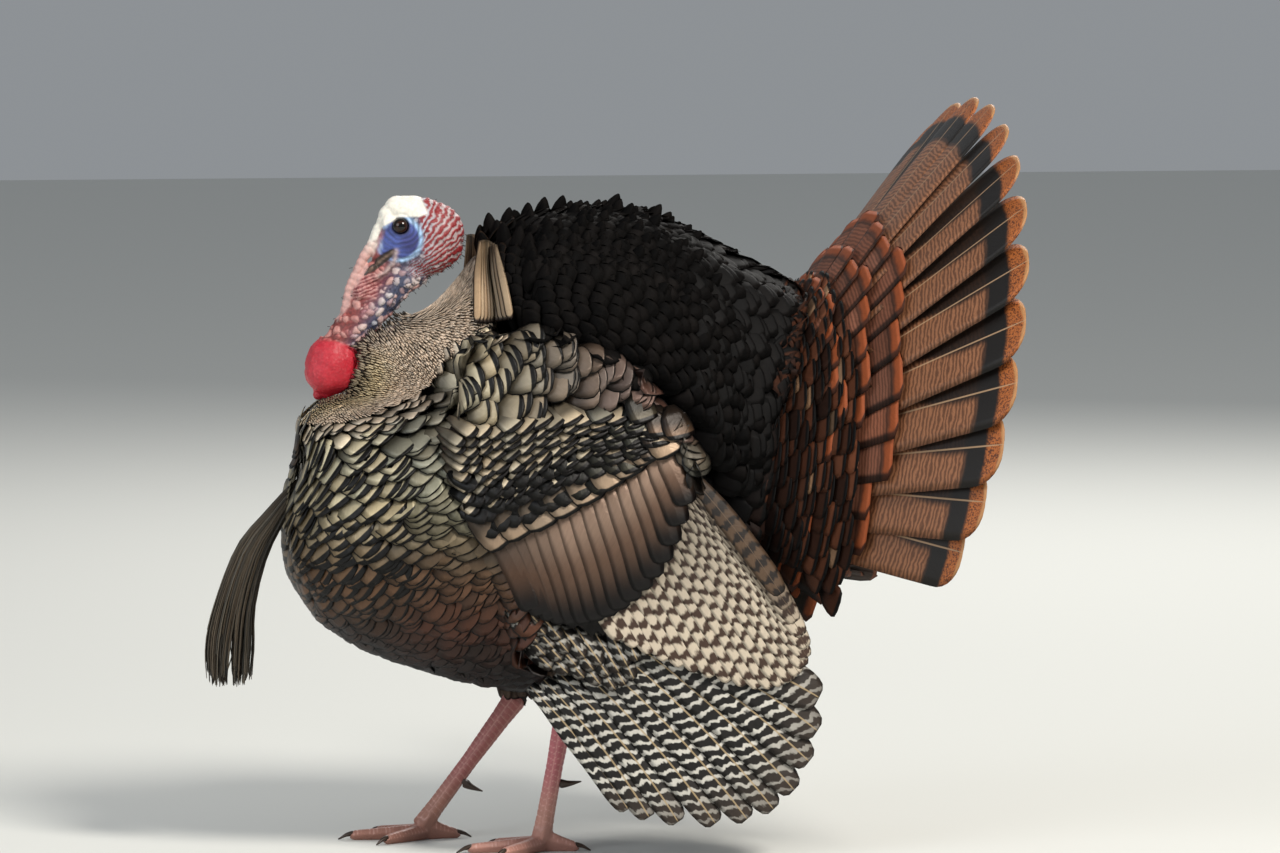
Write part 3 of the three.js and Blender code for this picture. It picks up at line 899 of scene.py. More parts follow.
class TURKEY_PG_studio(bpy.types.PropertyGroup):
    floor_size: length_of("Floor size", "Length of each side of the floor", 24.0)
    floor_colour: colour_of("Floor", "Colour of the plain floor", "d9dad6")
    sky_colour: colour_of("Sky", "Colour of the soft light from all round", "e6ecf2")
    distance: length_of("Camera distance", "From the bird's middle to the camera", 9.0)
    azimuth: bpy.props.FloatProperty(
        name="Camera azimuth", description="Turn of the camera round the bird",
        default=math.radians(-8), subtype="ANGLE")
    elevation: bpy.props.FloatProperty(
        name="Camera elevation", description="How far the camera looks down",
        default=math.radians(5), subtype="ANGLE")


class TURKEY_PG_body(bpy.types.PropertyGroup):
    tip_lift: length_of("Tip lift", "How far a body feather's tip stands off", 0.0035)
    coat_depth: length_of("Coat depth", "How deep the skin lies under the feather tips", 0.012)
    edge: colour_of("Edge", "Colour of the narrow band at a body feather's tip", "0b0908")
    neck: colour_of("Neck", "Colour of the neck's fine feathers", "d8c3ae")


# ---- The neck and breast ---------------------------------------------------------------------

def hang_down(coat, guide, roots, size, half, **looks):
    """Feathers hanging down the breast, with a length, depth and height in millimetres."""
    long, deep, high = (value * MM for value in size)
    ways = np.tile((-0.2, 0.0, -1.0), (len(roots), 1))
    spines, ups = lay(guide, roots, ways, long, 5, deep, high)
    coat.add(spines, ups, half * MM, columns=4, tip=0.5, power=2.0, end=0.05, thick=0.00035,
        rim=bpy.context.scene.turkey_body.edge, band=0.15, **looks)


def lay_body_coat(context):
    settings = context.scene.turkey_body
    edge = settings.edge
    scales = feather_material("body feather", shine=0.32, rough=0.40, streak=0.25, edge=0.10,
        root=0.22, fade=(0.35, 0.88))
    coat = Coat()
    guide, roots, ways, own, grain = body_rows((7.8, 29.0), BROAD, 2.0)
    ahead = rise(-165, -225, own[:, 0]) * rise(250, 330, own[:, 2])
    keep = over_wing(own) < -4
    lengths = mix(32, 40, rise(BROAD, 1, grain)) * RANDOM.normal(1, 0.05, len(roots)) * MM
    ways = ways + RANDOM.normal(0, 0.08, ways.shape)
    spines, ups = lay(guide, roots, ways, lengths, 5, 0.006, settings.tip_lift)
    tones = varied(body_tones(own), 0.20, 0.03)
    shoulder = rise(450, 480, own[:, 2]) * rise(-20, -90, own[:, 0])
    for ring in (0, 3, 5):
        keep &= on_shelf(own_mm(spines[:, ring]), ups[:, ring]) < 0.5
    band = mix(0.04, 0.18, np.maximum(ahead, 0.9 * shoulder))
    coat.add(spines[keep], ups[keep], (mix(17.0, 19.0, grain) * MM)[keep], columns=4, tip=0.7,
        power=2.0, end=0.12, cup=0.04, roll=0.14, thick=0.00035, tone=tones[keep], rim=edge,
        band=band[keep])
    parting = placed([(-300, 0, z) for z in np.linspace(468, 338, 18)])
    # The parting's feathers take the body colour at 0.4: painted shade in the breast's cleft.
    tones = varied(body_tones(own_mm(parting)) * 0.4, 0.2)
    hang_down(coat, guide, parting, (22, 2, 1), 11, cup=0.1, tone=tones)
    guide, roots, ways, own, grain = body_rows((5.5, 18.0), FINE, BROAD)
    keep = over_wing(own) < -4
    lengths = mix(20, 32, rise(FINE, BROAD, grain)) * MM
    spines, ups = lay(guide, roots, ways, lengths, 4, 0.004, 0.0025)
    tones = varied(tint(settings.neck, body_tones(own), grain), 0.2, 0.03)
    coat.add(spines[keep], ups[keep], (mix(6.0, 14.0, grain) * MM)[keep], columns=4, tip=0.7,
        power=2.0, end=0.12, cup=0.06, roll=0.14, thick=0.0003, tone=tones[keep], rim=edge,
        band=0.13)
    beard_root = placed([(-300, y, z) for z in (452, 440, 428) for y in (-10, 0, 10)])
    hang_down(coat, guide, beard_root, (30, 1, 4), 9, cup=0.2, tone=linear("4a3b2e"))
    coat.piece("breast_feathers", scales, "breast_feather", ("breast",))

    hairs = feather_material("neck feather", shine=0.25, rough=0.45, streak=0.25, root=0.4,
        fade=(0.1, 0.7))
    coat = Coat()
    guide, roots, ways, own, grain = body_rows((3.2, 2.6), -1.0, FINE)
    near = rise(14, 0, bare_reach(roots))
    roots = roots + ways * (RANDOM.uniform(-1, 1, (len(roots), 1)) * mix(1.6, 5.0, near)[:, None]
                            * MM)
    keep = (bare_reach(roots) > -4) & ((own[:, 0] > -258) | (own[:, 2] < 472))
    roots, ways, own, near = roots[keep], ways[keep], own[keep], near[keep]
    lengths = mix(13.0, 9.0, near) * MM
    spines, ups = lay(guide, roots, ways, lengths, 3, mix(0.0015, -0.0005, near), 0.0012)
    # Next to the wattle the neck's feathers turn gold: painted sheen.
    sheen_near_wattle = rise(40, 5, bare_reach(placed(own)))[:, None]
    sheen_near_wattle = sheen_near_wattle * rise(545, 500, own[:, 2])[:, None]
    tones = mix(settings.neck, linear("c8b68f"), sheen_near_wattle)
    tones = varied(mix(tones, linear("6d6258"), near[:, None] * 0.7), 0.15, 0.02)
    coat.add(spines, ups, 1.5 * MM, columns=2, tip=0.3, power=1.3, cup=0.3, roll=0.1,
        thick=0.00025, tone=tones, rim=tones * 0.6, band=0.05)
    coat.piece("neck_feathers", hairs, "neck_feather", ("neck_lower",))


class TURKEY_OT_body(bpy.types.Operator):
    """Lay the feathers of neck, breast, sides and belly in rows round the neck"""
    bl_idname = "turkey.body"
    bl_label = "Neck and breast feathers"

    def execute(self, context):
        lay_body_coat(context)
        return {"FINISHED"}


# ---- The stage -------------------------------------------------------------------------------

def add_light(name, place, target, size, power, colour):
    lamp = bpy.data.lights.new(name, "AREA")
    lamp.shape = "DISK"
    lamp.size = size
    lamp.energy = power
    lamp.color = colour
    light = bpy.data.objects.new(name, lamp)
    bpy.context.scene.collection.objects.link(light)
    light.location = place
    light.rotation_euler = (target - place).to_track_quat("-Z", "Y").to_euler()
    return light


def set_up_studio(context):
    scene, settings = context.scene, context.scene.turkey_studio
    bm = bmesh.new()
    bmesh.ops.create_grid(bm, x_segments=2, y_segments=2, size=settings.floor_size / 2)
    floor = bpy.data.objects.new("floor", mesh_of(bm, "floor"))
    floor.data.materials.append(plain_material("floor", settings.floor_colour, 0.9))
    scene.collection.objects.link(floor)
    target = at(20, 0, 400)
    lights = (
        add_light("key light", at(1900, -3000, 3900), target, 1.6, 255, (1.0, 0.95, 0.87)),
        add_light("front light", at(-3600, -2600, 2300), target, 3.0, 70, (0.92, 0.96, 1.0)),
        add_light("back light", at(1500, 3600, 2800), target, 2.5, 90, (1.0, 0.97, 0.92)),
    )
    world = bpy.data.worlds.new("studio")
    world.use_nodes = True
    background = world.node_tree.nodes["Background"]
    background.inputs[0].default_value = (*settings.sky_colour, 1)
    background.inputs[1].default_value = 0.34
    scene.world = world
    lens = bpy.data.cameras.new("camera")
    lens.lens, lens.sensor_width = 241, 36
    lens.clip_end = 60
    camera = bpy.data.objects.new("camera", lens)
    scene.collection.objects.link(camera)
    turn, lift = settings.azimuth, settings.elevation
    back = Vector((math.sin(turn) * math.cos(lift), -math.cos(turn) * math.cos(lift),
                   math.sin(lift)))
    camera.location = at(84.9, 0, 440) + back * settings.distance
    camera.rotation_euler = (-back).to_track_quat("-Z", "Y").to_euler()
    scene.camera = camera
    scene.view_settings.view_transform = "Standard"


class TURKEY_OT_studio(bpy.types.Operator):
    """Add the plain floor, soft lights and camera"""
    bl_idname = "turkey.studio"
    bl_label = "Studio"

    def execute(self, context):
        set_up_studio(context)
        return {"FINISHED"}


# ---- The wings -------------------------------------------------------------------------------

def on_flank(x, z, out):
    """Own places on the left wing's surface, and the way out of it there."""
    y = -(flank(x, z) + out)
    slope_x = -0.0012 * (x - 85)
    slope_z = -0.002 * np.maximum(z - 330, 0)
    ups = unit(np.stack([-slope_x, -np.ones_like(x), -slope_z], -1))
    return np.stack([x, y, z], -1), ups


def wing_spines(roots, tips, rows, low, high, bow=0.0):
    """Spines over the flank between x, z places, standing off it from low to high."""
    roots, tips = np.asarray(roots, float), np.asarray(tips, float)
    share = np.linspace(0, 1, rows + 1)
    spots = mix(roots[:, None], tips[:, None], share[None, :, None])
    sideways = (tips - roots)[:, ::-1] * (1, -1)
    spots = spots + sideways[:, None] * (bow * 4 * share * (1 - share))[None, :, None]
    low, high = (np.broadcast_to(v, (len(roots),))[:, None] for v in (low, high))
    return on_flank(spots[..., 0], spots[..., 1], mix(low, high, share[None]))


def pair_of_lines(root_line, tip_line, count):
    shares = (np.arange(count) + 0.5) / count
    return curve_through(root_line, shares), curve_through(tip_line, shares)


def inside(spots, corners):
    """Which x, z places lie within a polygon."""
    x, z = spots[:, 0], spots[:, 1]
    hit = np.zeros(len(x), bool)
    for (xa, za), (xb, zb) in zip(corners, corners[1:] + corners[:1]):
        crosses = (za > z) != (zb > z)
        reach = xa + (z - za) * (xb - xa) / ((zb - za) or 1e-9)
        hit ^= crosses & (x < reach)
    return hit


def arc_rows(corners, centre, step, spacing):
    """Places in a polygon on rows round a centre, nearer to it row by row, and ways to it."""
    centre = np.array(centre, float)
    spots = []
    for k, radius in enumerate(np.arange(400, 40, -step)):
        turns = np.arange(0, 2 * math.pi, spacing / radius) + k * GOLDEN * spacing / radius
        ring = centre + radius * np.stack([np.cos(turns), np.sin(turns)], 1)
        spots.append(ring[inside(ring, corners)])
    spots = np.concatenate(spots)
    spots = spots + RANDOM.normal(0, spacing * 0.05, spots.shape)
    return spots, unit(centre - spots)


PANEL_ROOTS = [(-98, 350), (-56, 368), (-8, 390), (42, 414), (84, 442)]
PANEL_TIPS = [(-56, 268), (-14, 251), (34, 262), (80, 306), (113, 384)]
BAR_ROOTS = [(-128, 372), (-70, 402), (-14, 428), (36, 452), (80, 474)]
BAR_TIPS = [(-88, 330), (-40, 350), (14, 378), (62, 410), (106, 432)]
SECONDARY_ROOTS = [(-24, 326), (20, 362), (56, 388), (84, 408), (98, 424)]
SECONDARY_TIPS = [(36, 240), (118, 203), (200, 182), (238, 214), (206, 286)]
PRIMARY_ROOTS = [(-58, 182), (-30, 196), (0, 216), (30, 240), (62, 246), (92, 246)]
PRIMARY_TIPS = [(38, 62), (84, 46), (158, 42), (214, 62), (246, 118), (252, 186)]


class TURKEY_PG_wing(bpy.types.PropertyGroup):
    quills: bpy.props.IntProperty(name="Primaries", default=10, min=4, max=14,
                                  description="Flight feathers of each wing's tip")
    secondaries: bpy.props.IntProperty(name="Secondaries", default=21, min=6, max=24,
                                       description="Flight feathers of each wing's arm")
    coverts: bpy.props.IntProperty(name="Greater coverts", default=16, min=6, max=24,
                                   description="Long feathers of the wing's panel")
    dark: colour_of("Flight dark", "Dark of the primaries", "100c0a")
    white: colour_of("Flight white", "White bars of the primaries", "cac6bd")
    brown: colour_of("Checks", "Brown checks of the secondaries", "3e2b20")
    cream: colour_of("Secondary cream", "Ground of the secondaries", "c4b6a2")
    panel: colour_of("Panel", "Colour of the greater coverts", "937a69")
    panel_tip: colour_of("Panel tip", "Dark end of the greater coverts", "0a0605")
    bar: colour_of("Wing bar", "Colour of the pale middle coverts", "a89078")
    small: colour_of("Small coverts", "Sheen of the small coverts", "baab92")


def strips(count, first, width=0.02, height=0.2):
    """Bake patches for long feathers: a strip each, side by side along one edge."""
    k = np.arange(count)
    return np.stack([first + (k + 0.5) * (width + 0.003), np.full(count, 0.5),
                     np.full(count, width), np.full(count, height)], 1)


def panel_fade(recipe, vane):
    """A greyish tan turning warm, then nearly black at the tip."""
    reach = vane.rounded(recipe)
    warm = recipe.blend(0.55, recipe.shade(vane.tone, 0.5), linear("5a3d2a"))
    colour = recipe.blend(recipe.ramp(reach, 0.25, 0.62), vane.tone, warm)
    return recipe.blend(recipe.ramp(reach, 0.55, 0.95), colour, vane.rim)


class Both:
    """One wing's coat laid on both sides."""

    def __init__(self, side):
        self.side = side
        self.coat = Coat()

    def add(self, spots, ups, widths, **looks):
        """Adds feathers given in own millimetres on the left wing."""
        self.coat.add(placed(spots), ups, np.asarray(widths) * MM, **looks)

    def piece(self, name, material, slot, replaces):
        coat = self.coat
        if self.side == "right":
            coat.co = [placed(wing_place(own_mm(block), "right")) for block in coat.co]
            coat.quads = [block[:, ::-1] for block in coat.quads]
        return coat.piece(name, material, slot, replaces)


def lay_strips(wing, corners, step, spacing, size, stand, band, tones):
    """Short feathers whose broad ends show as narrow strips, all over part of a wing."""
    roots, ways = arc_rows(corners, (162, 267), step, spacing)
    ways = unit(ways + RANDOM.normal(0, 0.1, ways.shape))
    length = size[0] * RANDOM.normal(1, 0.06, (len(roots), 1))
    spots, ups = wing_spines(roots - ways * length * 0.5, roots + ways * length * 0.5, 5, *stand)
    widths = size[1] * mix(0.45, 1, rise(-145, -60, roots[:, 0]))
    # Each strip's dark tip band is partly the feathers' own black edge and partly painted shadow
    # between the strips.
    wing.add(spots, ups, widths, columns=4, tip=0.78, power=2.4, end=0.25, cup=0.06, roll=0.26,
        tone=varied(tones(roots[:, 0]), 0.28, 0.03), rim=bpy.context.scene.turkey_wing.panel_tip,
        band=band)


def lay_wings(context):
    settings = context.scene.turkey_wing
    dark, white = settings.dark, np.array(settings.white)
    straw = linear("a8926f")
    primary = feather_material("primary feather", shine=0.0, rough=0.5, streak=0.2,
        bars=barred(13.5, 0.66, slant=0.55, wobble=1.2, soft=0.14, worn=0.8), shaft=straw,
        quill=1.2, root=0.8)
    secondary = feather_material("secondary feather", shine=0.0, rough=0.55, streak=0.12,
        bars=barred(18.0, 0.62, wobble=0.9, diamond=0.4, soft=0.2), shaft=linear("5c4a3a"),
        quill=0.6, root=0.42)
    panel = feather_material("greater covert", shine=0.3, rough=0.4, streak=0.25, bars=panel_fade,
        root=0.9)
    small = feather_material("small covert", shine=0.3, rough=0.4, streak=0.2, edge=0.10,
        root=0.15, fade=(0.45, 0.9))
    for side in ("left", "right"):
        n = settings.quills
        roots, tips = pair_of_lines(PRIMARY_ROOTS, PRIMARY_TIPS, n)
        spots, ups = wing_spines(roots, tips, 12, -10, -2, bow=-0.03)
        wing = Both(side)
        wing.add(spots, ups, np.linspace(14, 22, n), columns=6, tip=0.8, power=2.2, base=0.5,
            cup=0.06, roll=0.14, thick=0.0005, tone=dark, rim=white, band=0,
            seed=np.arange(n) * GOLDEN + 3, bake=strips(n, 0.02, 0.08, 0.94))
        wing.piece(f"primaries_{side}", primary, "primary", (f"wing_{side}_primaries",))

        n = settings.secondaries
        roots, tips = pair_of_lines(SECONDARY_ROOTS, SECONDARY_TIPS, n)
        spots, ups = wing_spines(roots, tips, 12, -6, 2, bow=-0.02)
        wing = Both(side)
        rear = rise(0.78, 0.97, np.arange(n) / n)[:, None]
        wing.add(spots, ups, np.linspace(14, 12, n), columns=6, tip=0.84, power=2.0, base=0.5,
            cup=0.06, roll=0.12, thick=0.0005, tone=mix(settings.brown, linear("18110d"), rear),
            rim=mix(settings.cream, linear("4d3826"), rear), band=0,
            seed=np.arange(n) * 0.5 + RANDOM.normal(0, 0.05, n) + 20,
            bake=strips(n, 0.02, 0.055, 0.94))
        wing.piece(f"secondaries_{side}", secondary, "secondary", (f"wing_{side}_secondaries",))

        n = settings.coverts
        roots, tips = pair_of_lines(PANEL_ROOTS, PANEL_TIPS, n)
        spots, ups = wing_spines(roots, tips, 8, 0, 6, bow=-0.04)
        wing = Both(side)
        # The panel's first, lowest feathers are painted darker: painted shade at its lower front
        # end.
        light = mix(0.32, 1.0, rise(0.5, 6.5, np.arange(n)))[:, None]
        wing.add(spots, ups, np.full(n, 13.5), columns=4, tip=0.84, power=2.4, base=0.6, cup=0.0,
            roll=0.035, thick=0.0004, tone=varied(np.tile(settings.panel, (n, 1)) * light, 0.06),
            rim=settings.panel_tip, band=0.03, bake=strips(n, 0.02, 0.05, 0.94))
        wing.piece(f"greater_coverts_{side}", panel, "wing_covert", ())

        wing = Both(side)
        corners = [(-75, 300), (-48, 262), (0, 236), (60, 238), (40, 205), (0, 200),
                   (-40, 212), (-66, 236)]
        roots, ways = arc_rows(corners, (120, 60), 15, 13)
        spots, ups = wing_spines(roots - ways * 20, roots + ways * 26, 4, -6, 2)
        wing.add(spots, ups, np.full(len(roots), 9.0), columns=2, tip=0.6, power=2.0, cup=0.1,
            roll=0.12, tone=dark, rim=white * 0.6, band=0)
        wing.piece(f"primary_coverts_{side}", primary, "primary", ())

        wing = Both(side)
        n = 9
        roots, tips = pair_of_lines(BAR_ROOTS, BAR_TIPS, n)
        spots, ups = wing_spines(roots, tips + RANDOM.normal(0, 1, (n, 2)), 5, 3, 8)
        wing.add(spots, ups, np.full(n, 21.0), columns=4, tip=0.74, power=2.4, cup=0.04, roll=0.12,
            tone=varied(np.tile(settings.bar, (n, 1)), 0.1, 0.02), rim=settings.panel_tip,
            band=0.07)
        # The middle coverts, near black: partly their own dark and partly painted shadow under the
        # small coverts.
        corners = [(-132, 402), (-110, 351), (-60, 367), (-6, 393), (44, 419), (92, 443),
                   (104, 462), (70, 478), (20, 452), (-40, 418), (-100, 398)]
        lay_strips(wing, corners, 9, 26, (34, 17), (0, 8), 0.15,
            lambda x: region(x, (-110, "0d0b09"), (-20, "15130f"), (60, "3a382d"), (80, "5a4636")))
        corners = [(-146, 450), (-96, 461), (-42, 468), (20, 478), (70, 466), (104, 452),
                   (40, 436), (-20, 412), (-70, 388), (-124, 372), (-136, 410)]
        lay_strips(wing, corners, 6.2, 22, (30, 14), (-8, 9), 0.16,
            lambda x: np.tile(settings.small, (len(x), 1)))
        wing.piece(f"small_coverts_{side}", small, "wing_covert", (f"wing_{side}",))


class TURKEY_OT_wings(bpy.types.Operator):
    """Lay the flight feathers and coverts of both drooping wings"""
    bl_idname = "turkey.wings"
    bl_label = "Wings"

    def execute(self, context):
        lay_wings(context)
        return {"FINISHED"}


# ---- The back: mantle, rump, tail and its coverts --------------------------------------------

class TURKEY_PG_back(bpy.types.PropertyGroup):
    black: colour_of("Black", "Black of the mantle", "050404")
    sheen: colour_of("Sheen", "Grey sheen of the mantle", "120f0e")
    copper: colour_of("Copper", "Copper of the rump", "54301f")
    buff: colour_of("Buff", "Pale strips of the rump", "8c6c52")
    covert: colour_of("Covert", "Pinkish brown of the tail coverts", "84533f")
    rust: colour_of("Rust", "Rust tips of the tail coverts", "8a4626")
    vane: colour_of("Tail vane", "Brown of the tail feathers", "936345")
    bars: colour_of("Tail bars", "Dark bars of the tail feathers", "4b2c1b")


# Where the feathers of mantle and rump spread from, as own x and z.
HEART_X, HEART_Z = -30, 430


def outward(spots, sideways):
    """Ways from the heart of the mantle at own places."""
    return unit(np.stack([spots[:, 0] - HEART_X, spots[:, 1] * sideways,
                          spots[:, 2] - HEART_Z], 1))


def tips_on(form, field, low, high, step, spacing):
    """Places in rows on a form where a field on its vertices runs from low to high."""
    spots, start, level = [], 0.0, low
    while level < high:
        for line in form.rows(field, level):
            spots.append(spaced(line, spacing * MM, start))
        start = (start + GOLDEN) % 1
        level += step
    spots = np.concatenate(spots)
    return spots + RANDOM.normal(0, spacing * 0.07 * MM, spots.shape)


def raise_back(context):
    settings = context.scene.turkey_back
    form = form_of("back", ("mantle", "rump"), 9, 5)
    own = own_mm(form.co)
    field = np.hypot(own[:, 0] - HEART_X, own[:, 2] - HEART_Z) + 0.35 * own[:, 0]
    black = feather_material("mantle feather", shine=0.0, rough=0.8, streak=0.4, edge=0.2,
        root=0.4, gloss=0.1)
    tips = tips_on(form, field, field.min() + 4, field.max(), 11, 17)
    spots = own_mm(tips)
    normal = form.nearest(tips)[1]
    front = spots[:, 0] < 135 + 18 * RANDOM.standard_normal(len(spots))
    raised = outward(spots, 0.15)
    keep = front & (normal[:, 2] > -0.45) & (over_wing(spots) < 8)
    under = (spots[:, 0] < -50) & (spots[:, 2] < 642) & (np.abs(spots[:, 1]) > 18)
    spines, ups = lay(form, tips, raised + np.array([0.3, 0, 0]), 0.042, 4, 0.006, 0.004)
    tones = mix(settings.black, settings.sheen, RANDOM.random((len(spots), 1)) ** 2)
    spines = spines - ups * (under * 9 * MM)[:, None, None]
    edge = region(spots[:, 0], (-95, "3a291c"), (-75, "0a0706"))
    coat = Coat()
    coat.add(spines[keep], ups[keep], 12 * MM, columns=2, tip=0.8, power=2.4, cup=0.1, roll=0.12,
        tone=tones[keep], rim=edge[keep], band=0.05)
    keep = keep & (normal[:, 2] > 0.3) & ~under
    tips, normal, raised = tips[keep], normal[keep], raised[keep]
    n = len(tips)
    ways = unit(raised + normal * 0.4 + np.array([0.3, 0, 0.1]) + RANDOM.normal(0, 0.08, (n, 3)))
    side = np.where(spots[keep, 1] > 0, 1.0, -1.0)
    ups = unit(np.stack([np.full(n, -0.3), side, np.full(n, 0.1)], 1))
    share = np.linspace(0, 1, 6)[None, :, None]
    reach = (4 + 12 * RANDOM.random(n))[:, None, None] * MM
    spines = tips[:, None] + ways[:, None] * ((share - 1) * 0.045 + reach)
    coat.add(spines, np.repeat(ups[:, None], 6, 1), 9 * MM, columns=2, tip=0.62, power=1.3,
        end=0.1, cup=0.1, roll=0.2, tone=tones[keep], rim=edge[keep], band=0.05)
    guide, roots, ways, own, _ = body_rows((8.0, 22.0), BROAD, 2.0)
    keep = on_shelf(own, guide.nearest(roots)[1]) > 0.2
    spines, ups = lay(guide, roots[keep], ways[keep], 0.04, 5, 0.006, 0.001)
    coat.add(spines, ups, 17 * MM, columns=2, tip=0.7, power=2.0, end=0.1, cup=0.05,
        tone=varied(np.tile(settings.sheen, (len(spines), 1)), 0.3), rim=settings.black, band=0.1)
    coat.piece("mantle_feathers", black, "black_feather", ("mantle",))

    n = 10
    share = np.linspace(0, 1, 9)
    foot, top = pair_of_lines([(-97, 556), (-85, 555), (-73, 557), (-61, 561)],
        [(-91, 640), (-85, 641), (-79, 639), (-73, 635)], n)
    flat = mix(top[:, None], foot[:, None], share[None, :, None])
    guide = form_of("guide", FLESH + WINGS, 8.5, 9)
    pale = feather_material("ruff feather", shine=0.1, rough=0.5, streak=0.25, edge=0.3,
        one_sided=True, root=0.5)
    coat = Coat()
    for way in (-1.0, 1.0):
        out = np.full((n, 9), np.nan)
        for k in range(n):
            for j in range(9):
                x, z = flat[k, j]
                for tree in (guide.tree, form.tree):
                    hit = tree.ray_cast(at(x, way * 400, z), Vector((0, -way, 0)))[0]
                    if hit and np.isnan(out[k, j]):
                        out[k, j] = abs(own_mm(hit)[1])
        out = np.where(np.isnan(out), np.nanmedian(out), out)
        for _ in range(4):
            padded = np.pad(out, 1, "edge")
            out = (padded[:-2, 1:-1] + padded[2:, 1:-1] + padded[1:-1, :-2]
                   + padded[1:-1, 2:] + out) / 5
        out = out + np.linspace(2, 5, 9)
        spots = np.concatenate([flat[..., :1], way * out[..., None], flat[..., 1:]], 2)
        ups = np.tile((-0.2, way, 0.1), (n, 9, 1))
        tones = varied(np.tile(linear("9b8469"), (n, 1)), 0.2, 0.03)
        coat.add(placed(spots), ups, 4.5 * MM, columns=4, tip=0.85, power=2.2, base=0.5, cup=0.1,
            roll=0.2 * way, tone=tones, rim=linear("2c2018"), band=0.05)
    coat.piece("ruff_feathers", pale, "neck_feather")

    barred_rump = feather_material("rump feather", shine=0.0, rough=0.7, streak=0.3, root=0.2,
        gloss=0.15, bars=to_tip(0.83, 0.9))
    roots = tips_on(form, field, field.min() + 4, field.max(), 8.5, 32)
    spots = own_mm(roots)
    keep = spots[:, 0] > 105 + 12 * RANDOM.standard_normal(len(spots))
    keep &= spots[:, 0] < 285
    roots, spots = roots[keep], spots[keep]
    ways = outward(spots, 0.3) + np.array([0.4, 0, 0])
    spines, ups = lay(form, roots, ways, 0.038, 5, 0.005, 0.003)
    warm = rise(165, 250, spots[:, 0] + 0.25 * (430 - spots[:, 2]))[:, None]
    tones = mix(np.array(settings.black) * 2, settings.copper, warm)
    pale = RANDOM.random((len(spots), 1)) < 0.22
    tones = np.where(pale & (warm > 0.7), np.array(settings.buff) * 0.7, tones)
    tones = varied(tones, 0.25, 0.05)
    coat = Coat()
    coat.add(spines, ups, 18.0 * MM, columns=4, tip=0.8, power=2.0, end=0.3, cup=0.05, roll=0.09,
        tone=tones, rim=settings.black, band=0.025)
    first, last = math.radians(FAN["first"] - 14), math.radians(FAN["first"] + 182)
    for tier in range(9):
        count = 22 + tier
        angles = np.linspace(first, last, count) + (tier * GOLDEN % 1) * (last - first) / count
        angles = angles + RANDOM.normal(0, 0.02, count)
        ends = 158 + 12.5 * tier + RANDOM.normal(0, 2.5, count)
        reach = ends[:, None] + np.linspace(-36, 0, 6)[None]
        spots, ups = on_fan(reach, angles[:, None], 29 - 0.9 * tier + np.linspace(-8, 0, 6)[None])
        tones = np.tile(np.array(settings.copper) * mix(0.35, 1.3, tier / 8), (count, 1))
        draw = RANDOM.random((count, 1))
        tones = np.where(draw < 0.38, tones * 0.32, tones)
        tones = np.where(draw > 1 - 0.02 * tier, np.array(settings.buff) * 0.8, tones)
        coat.add(placed(spots), ups, 18.0 * MM, columns=4, tip=0.8, power=2.0, end=0.3, cup=0.04,
            roll=0.1, tone=varied(tones, 0.25, 0.04), rim=settings.black, band=0.025)
    coat.piece("rump_feathers", barred_rump, "black_feather", ("rump",))


class TURKEY_OT_back(bpy.types.Operator):
    """Raise the black mantle and lay the rump's narrow feathers"""
    bl_idname = "turkey.back"
    bl_label = "Mantle and rump"

    def execute(self, context):
        raise_back(context)
        return {"FINISHED"}


# The tail's cone in own millimetres and degrees: where its feathers meet, how far its axis drops
# and turns, its half angle, and its feathers' length, first angle and step, number and roots.
FAN = {"apex": (129, 0, 388), "droop": 4.5, "turn": 5.7, "flare": 55.2, "length": 509,
       "first": -70.5, "step": 9.86, "count": 18, "root": 110}


def on_fan(reach, angle, raised=0.0):
    """Places on the tail's cone: so far from its apex, turned so far from upright to the left."""
    reach, angle, raised = np.broadcast_arrays(reach, angle, raised)
    droop, turn, flare = (math.radians(FAN[key]) for key in ("droop", "turn", "flare"))
    swing = np.array([[math.cos(turn), -math.sin(turn), 0],
                      [math.sin(turn), math.cos(turn), 0], [0, 0, 1]])
    axis = swing @ (math.cos(droop), 0, -math.sin(droop))
    up = swing @ (math.sin(droop), 0, math.cos(droop))
    left = swing @ (0, -1, 0)
    c, s = np.cos(angle)[..., None], np.sin(angle)[..., None]
    outward = up * c + left * s
    cf, sf = math.cos(flare), math.sin(flare)
    places = (np.array(FAN["apex"]) + axis * (reach * cf - raised * sf)[..., None]
              + outward * (reach * sf + raised * cf)[..., None])
    return places, outward * cf - axis * sf


def quill_length(angle):
    return FAN["length"] * (1 - 0.21 * (angle / (math.pi / 2)) ** 2)


